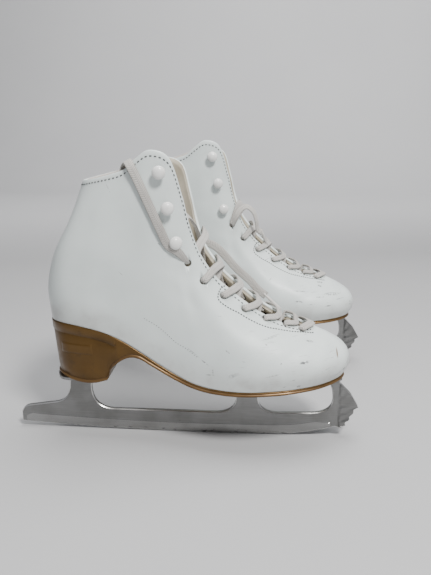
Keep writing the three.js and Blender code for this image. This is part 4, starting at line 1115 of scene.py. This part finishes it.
def sole(foot):
    """The moulded heel and outsole, as rings round its wall from the top edge down."""
    xs, ws = sole_outline(260)
    xs, ws = xs[1:-1], ws[1:-1]
    x, w = np.concatenate([xs, xs[::-1]]), np.concatenate([-ws, ws[::-1]])
    flat = np.stack([x, w], 1)
    tangent = np.roll(flat, -1, 0) - np.roll(flat, 1, 0)
    outward = unit(np.stack([tangent[:, 1], -tangent[:, 0]], 1))
    if np.mean(outward[:, 0] * (x - 120)) < 0:
        outward = -outward
    top, bottom = smooth_line(SOLE_TOP, x), smooth_line(SOLE_BOTTOM, x)
    heel = (x < 60) * smoothstep(top - bottom, 14, 26)
    squeeze = np.minimum(1, (top - bottom) / SOLE_EDGE)
    edge = top - WALL_EDGE * np.where(heel > 0, 1, squeeze)
    rows = [(top - d * squeeze, out + 0 * x, finish) for d, out, finish in WALL_FROM_TOP]
    rows += [(edge - (d - WALL_EDGE) * heel, out * heel, finish) for d, out, finish in HEEL_BAND]
    start, end = edge - BAND_LOW * heel, bottom + BEAD_TOP * squeeze
    rows += [(np.minimum(start, start + (end - start) * share), -0.45 * heel, "sole")
             for share in (0.45, 0.62, 0.8)]
    rows += [(bottom + d * squeeze, out * (1 if d < 2.6 else np.maximum(heel, 0.35)) + 0 * x, finish)
             for d, out, finish in WALL_FROM_BOTTOM]
    rings = []
    for z, stand, _ in rows:
        down = np.clip((HEEL_TOP_Z - z) / HEEL_HEIGHT, 0, 1) * (x < HEEL_END)
        narrow = 1 - HEEL_TAPER * down * smoothstep(HEEL_END - x, 0, 12)
        rake = HEEL_RAKE * down * np.maximum(0, 1 - x / RAKE_END)
        y = (w + outward[:, 1] * stand) * narrow + foot_middle(x)
        rings.append(np.stack([x + outward[:, 0] * stand + rake, y, z], 1))
    faces = loft_faces(len(rings), len(x))
    obj = new_object(f"{foot}_sole_moulding", np.concatenate(rings), faces, foot, MATERIALS["sole"])
    for key in ("bead", "groove"):
        obj.data.materials.append(MATERIALS[key])
    tags = [finish for _, _, finish in rows[1:] for _ in x]
    tags += ["sole"] * (len(faces) - len(tags))
    obj.data.polygons.foreach_set("material_index", [("sole", "bead", "groove").index(tag) for tag in tags])
    settle(tidy_mesh(obj, 1e-6), foot, "gold_sole", "heel_and_outsole")


NAME_PLATE = {"from": 10.5, "to": 40, "low": 76.5, "high": 87.5, "lean": 2.0, "stands": 0.15, "round": 1.2}


def name_plate(foot):
    """The blank oblong panels in the heel's sides."""
    size = NAME_PLATE
    x, z = np.meshgrid(np.linspace(size["from"], size["to"], 16), np.linspace(size["low"], size["high"], 8),
                       indexing="ij")
    down = (HEEL_TOP_Z - z) / HEEL_HEIGHT
    half = np.interp(x, *np.array(SOLE_OUTLINE, float).T) * (1 - HEEL_TAPER * down)
    inwards = np.min([x - size["from"], size["to"] - x, z - size["low"], size["high"] - z], 0) / size["round"]
    stand = size["stands"] - 1.35 * (1 - np.sqrt(np.clip(inwards, 0, 1)))
    x = x + size["lean"] * down
    parts = [panel(*(np.stack([x, side * (half + out), z], -1) for out in (stand, -2.2)))
             for side in (LATERAL, MEDIAL)]
    piece(foot, "heel_panel", parts, "sole", "gold_sole", merge=1e-7)


# ---------- Blade ----------

BLADE_THICK, BLADE_BEVEL, GROUND_HEIGHT = 4.0, 0.7, 7.4
PICK_BACK_X = 240.6
ROCKER_RADIUS, ROCKER_X = 2438, 125
FRONT_ROCKER_X, FRONT_ROCKER_RADIUS = 185, 200
RUNNER_TOP = 19.4
PICK_TEETH = [(244.5, 7.3), (242.9, 10.8), (247, 10.9), (245.5, 13.9), (249.9, 16.6), (249.3, 19.1),
              (253.2, 23.3), (252.1, 25.7), (256.5, 28.2), (250.3, 39), (241.6, 48.2)]


def sole_plate_low(x):
    xs, zs = np.array(SOLE_BOTTOM, float).T
    return float(np.interp(x, xs, zs)) - PLATE_GAP - PLATE_THICK


def fillet(a, corner, b, count=10):
    """A rounded corner between two points."""
    t = np.linspace(0, 1, count + 1)[:, None]
    a, corner, b = np.array([a, corner, b], float)
    return ((1 - t) ** 2 * a + 2 * t * (1 - t) * corner + t * t * b).tolist()


def runner_height(x):
    front = np.maximum(0, x - FRONT_ROCKER_X)
    return (x - ROCKER_X) ** 2 / (2 * ROCKER_RADIUS) + front ** 2 / (2 * FRONT_ROCKER_RADIUS)


def blade_outline():
    heel_low = HEEL_PLATE_LOW - PLATE_GAP

    def under(x):
        return [x, sole_plate_low(x) - PLATE_GAP]
    tail = [[TAIL_X, 14], *fillet((-31.5, 16.5), (-29.5, 19.9), (-24.5, 20.5), 6)]
    rear = [*fillet((-2, 24.1), (8.5, 25.4), (11.2, 38)), [12.2, heel_low], [31.5, heel_low],
            *fillet((30.4, 40), (30.4, 20.5), (48, RUNNER_TOP), 14)]
    front = [*fillet((138, RUNNER_TOP), (154.5, 20.2), (154.5, 35), 14), under(154.5), under(172.7),
             *fillet((172.7, 35), (173, 20.6), (190, 20.4), 14)]
    toe = [*fillet((218, 21.4), (236, 22.6), (235.2, 36), 12),
           *fillet((234.9, 40), (234, 47.5), under(229), 6), under(240)]
    runner = [[x, runner_height(x)] for x in np.linspace(TAIL_X, 238, 70)]
    return runner + [list(p) for p in PICK_TEETH] + toe[::-1] + front[::-1] + rear[::-1] + tail[::-1]


def blade(foot):
    """The runner and its stanchions: one plate with fine bevels, brighter where it is ground, and a painted
    highlight on the bevels.
    """
    outline = blade_outline()
    count = len(outline)
    verts = [(x, side * BLADE_THICK / 2, z) for side in (LATERAL, MEDIAL) for x, z in outline]
    faces = [tuple(range(count)), tuple(range(2 * count - 1, count - 1, -1))]
    faces += [((k + 1) % count, k, count + k, count + (k + 1) % count) for k in range(count)]
    obj = piece(foot, "runner", [(np.array(verts), faces)], "steel", "blade_steel", "blade", smooth=False)
    add_modifier(obj, "BEVEL", width=BLADE_BEVEL / 1000, segments=1, limit_method="ANGLE",
                 angle_limit=math.radians(30), harden_normals=False)
    add_modifier(obj, "WEIGHTED_NORMAL", keep_sharp=True)
    apply_modifiers(obj)
    for key in ("mirror", "bevel"):
        obj.data.materials.append(MATERIALS[key])
    points = local_points(obj, foot)
    for polygon in obj.data.polygons:
        x, _, z = points[list(polygon.vertices)].mean(0)
        # the bevels take the bright steel: a painted highlight along every edge
        if 0.2 < abs(polygon.normal[1]) < 0.97:
            polygon.material_index = 2
        elif x < 236 and z < runner_height(x) + 1.5:
            polygon.material_index = 1


def ground_band(foot):
    """The brighter ground flats low on both sides of the runner."""
    x = np.linspace(TAIL_X + 2, 236, 110)
    low = runner_height(x) + 1.0
    height = GROUND_HEIGHT * np.minimum(1, np.minimum((x - x[0] + 2) / 9, (x[-1] - x + 1.5) / 16)) ** 0.6
    sunk = 0.25 * (1 - np.minimum(1, np.minimum(x - x[0], x[-1] - x) / 3))
    section = [(0.0, 2.01), (0.15, 2.08), (0.97, 2.08), (1.0, 2.0), (1.0, 1.5), (0.0, 1.5)]
    parts = []
    for side in (LATERAL, MEDIAL):
        rings = np.stack([np.stack([x, side * (out - sunk), low + up * height], 1) for up, out in section], 1)
        parts.append((rings.reshape(-1, 3), loft_faces(len(x), len(section))))
    piece(foot, "ground_flats", parts, "mirror", "blade_steel", smooth=False)


def toe_pick(foot):
    """The cross-cut pick: flared cheeks with slanting ridges across each side."""
    rows, columns = np.linspace(0, 1, 26)[:, None], np.linspace(0, 1, 13)[None, :]
    front = np.array(PICK_TEETH[1:] + [(PICK_BACK_X, 49.0)], float)
    run = run_along(front)
    edge_x, edge_z = (np.interp(rows * run[-1], run, column) for column in front.T)
    x = (PICK_BACK_X - 1.5 * np.sin(rows * math.pi)) * (1 - columns) + edge_x * columns
    z = (9.5 + rows * 39.0) * (1 - columns) + edge_z * columns
    ridge = np.abs((rows * 5.2 - columns * 1.1) % 1 - 0.5) * 2
    stand = 2.05 + 1.35 * smoothstep(columns, 0, 0.25) * (0.55 + 0.45 * ridge)
    parts = [panel(*(np.stack([x, side * out, z], -1) for out in (stand, 1.2 + 0 * x)))
             for side in (LATERAL, MEDIAL)]
    piece(foot, "pick_cheeks", parts, "steel", "blade_steel", smooth=False)


def plate(foot, name, node, x, half, low):
    """A mounting plate with softened edges, from its half width and the height of its underside."""
    round_low, round_high, high = 0.5, 0.2, low + PLATE_THICK
    section = [(half - round_low, low), (half, low + round_low), (half, high - round_high),
               (half - round_high, high)]
    section += [(-y, z) for y, z in section[::-1]]
    rings = np.stack([np.stack([x, y, z], 1) for y, z in section], 1)
    part = (rings.reshape(-1, 3), loft_faces(len(x), len(section)))
    piece(foot, name, [part], "plate", "plate_steel", node, smooth=False)


def plates(foot):
    def along(size, count):
        return size["from"] + (size["to"] - size["from"]) * (1 - np.cos(np.linspace(0, math.pi, count))) / 2
    x = along(SOLE_PLATE, 60)
    reach = np.clip(np.minimum((x - SOLE_PLATE["from"]) / 8, (SOLE_PLATE["to"] - x) / 14), 0, 1)
    half = np.maximum(3, (19 + 5 * np.sin((x - 150) / 60 * math.pi)) * np.sqrt(reach))
    plate(foot, "front_plate", "sole_plate", x, half, np.array([sole_plate_low(at) for at in x]))
    x = along(HEEL_PLATE, 40)
    half = np.maximum(6, HEEL_PLATE["half"] * np.sqrt(np.maximum(0, 1 - (np.abs(x - 25.5) / 21.5) ** 4)))
    plate(foot, "rear_plate", "heel_plate", x, half, HEEL_PLATE_LOW + 0 * x)


SCREW_HEAD = [(3.6, 0), (3.6, 0.35), (3.3, 0.95), (2.5, 1.4), (1.4, 1.58), (0.2, 1.6)]
RECESS = {"reach": 1.9, "half": 0.4, "from": 0.8, "to": 2.4, "turn": 0.4}
RECESS_FACES = [(0, 1, 2, 3), (7, 6, 5, 4), (1, 0, 4, 5), (2, 1, 5, 6), (3, 2, 6, 7), (0, 3, 7, 4)]


def screws(foot):
    """Pan-head screws with a cross recess."""
    groups = [("heel_screw", HEEL_SCREWS, lambda x: HEEL_PLATE_LOW),
              ("sole_screw", SOLE_SCREWS, sole_plate_low)]
    across, half = RECESS["reach"], RECESS["half"]
    corners = [(-across, -half), (across, -half), (across, half), (-across, half)]
    for label, places, low in groups:
        for number, (x, y) in enumerate(places, 1):
            base = np.array([x, y, low(x) - 0.05])
            head = turned(SCREW_HEAD, base, (0, 0, -1), 22)
            obj = piece(foot, f"{label}_{number}_head", [head], "screw", "screw_steel", f"{label}_{number}")
            for turn in (RECESS["turn"], RECESS["turn"] + math.pi / 2):
                c, s = math.cos(turn), math.sin(turn)
                bar = [(x + (a * c - b * s), y + (a * s + b * c), base[2] - depth)
                       for depth in (RECESS["from"], RECESS["to"]) for a, b in corners]
                cut_away(obj, foot, [(np.array(bar), RECESS_FACES)], "screw")


# ---------- Hooks ----------

HOOK_DOME = [(1.2, 3.3), (3.9, 3.35), (4.75, 3.6), (5.05, 4.15), (4.8, 4.9), (4.1, 5.7), (3.0, 6.4),
             (1.7, 6.85), (0.3, 7.0)]
HOOK_STEM = [(3.3, -0.35), (3.4, 0.1), (3.2, 0.5), (2.1, 0.8), (1.8, 1.6), (1.8, 3.6)]


def hooks(foot, open_side):
    """The domed speed hooks on their stems."""
    for side, label in ((LATERAL, "outer"), (MEDIAL, "inner")):
        for number, spot in enumerate(HOOKS, 1):
            at, normal = boot_at(side, spot, open_side)
            name = f"{label}_hook_{number}"
            dome = turned(HOOK_DOME, at + normal * 0.6, normal, 32)
            piece(foot, f"{name}_dome", [dome], "enamel", "white_enamel", name)
            stem = turned(HOOK_STEM, at + normal * 0.4, normal)
            piece(foot, f"{name}_stem", [stem], "plate", "plate_steel")


# ---------- Build ----------

camera()
for foot, open_side in FEET.items():
    lace(foot, open_side)
stage()
for foot, open_side in FEET.items():
    upper(foot, open_side)
    lining(foot, open_side)
    stitching(foot, open_side)
    back_seam(foot, open_side)
    tongue(foot)
    footbed(foot)
    sole(foot)
    name_plate(foot)
    blade(foot)
    ground_band(foot)
    toe_pick(foot)
    plates(foot)
    screws(foot)
    hooks(foot, open_side)
    for node in ("heel_counter", "toe_puff", "lasting_board"):
        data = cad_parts[f"{foot}_{node}"].data
        data.materials.clear()
        data.materials.append(MATERIALS["board"])
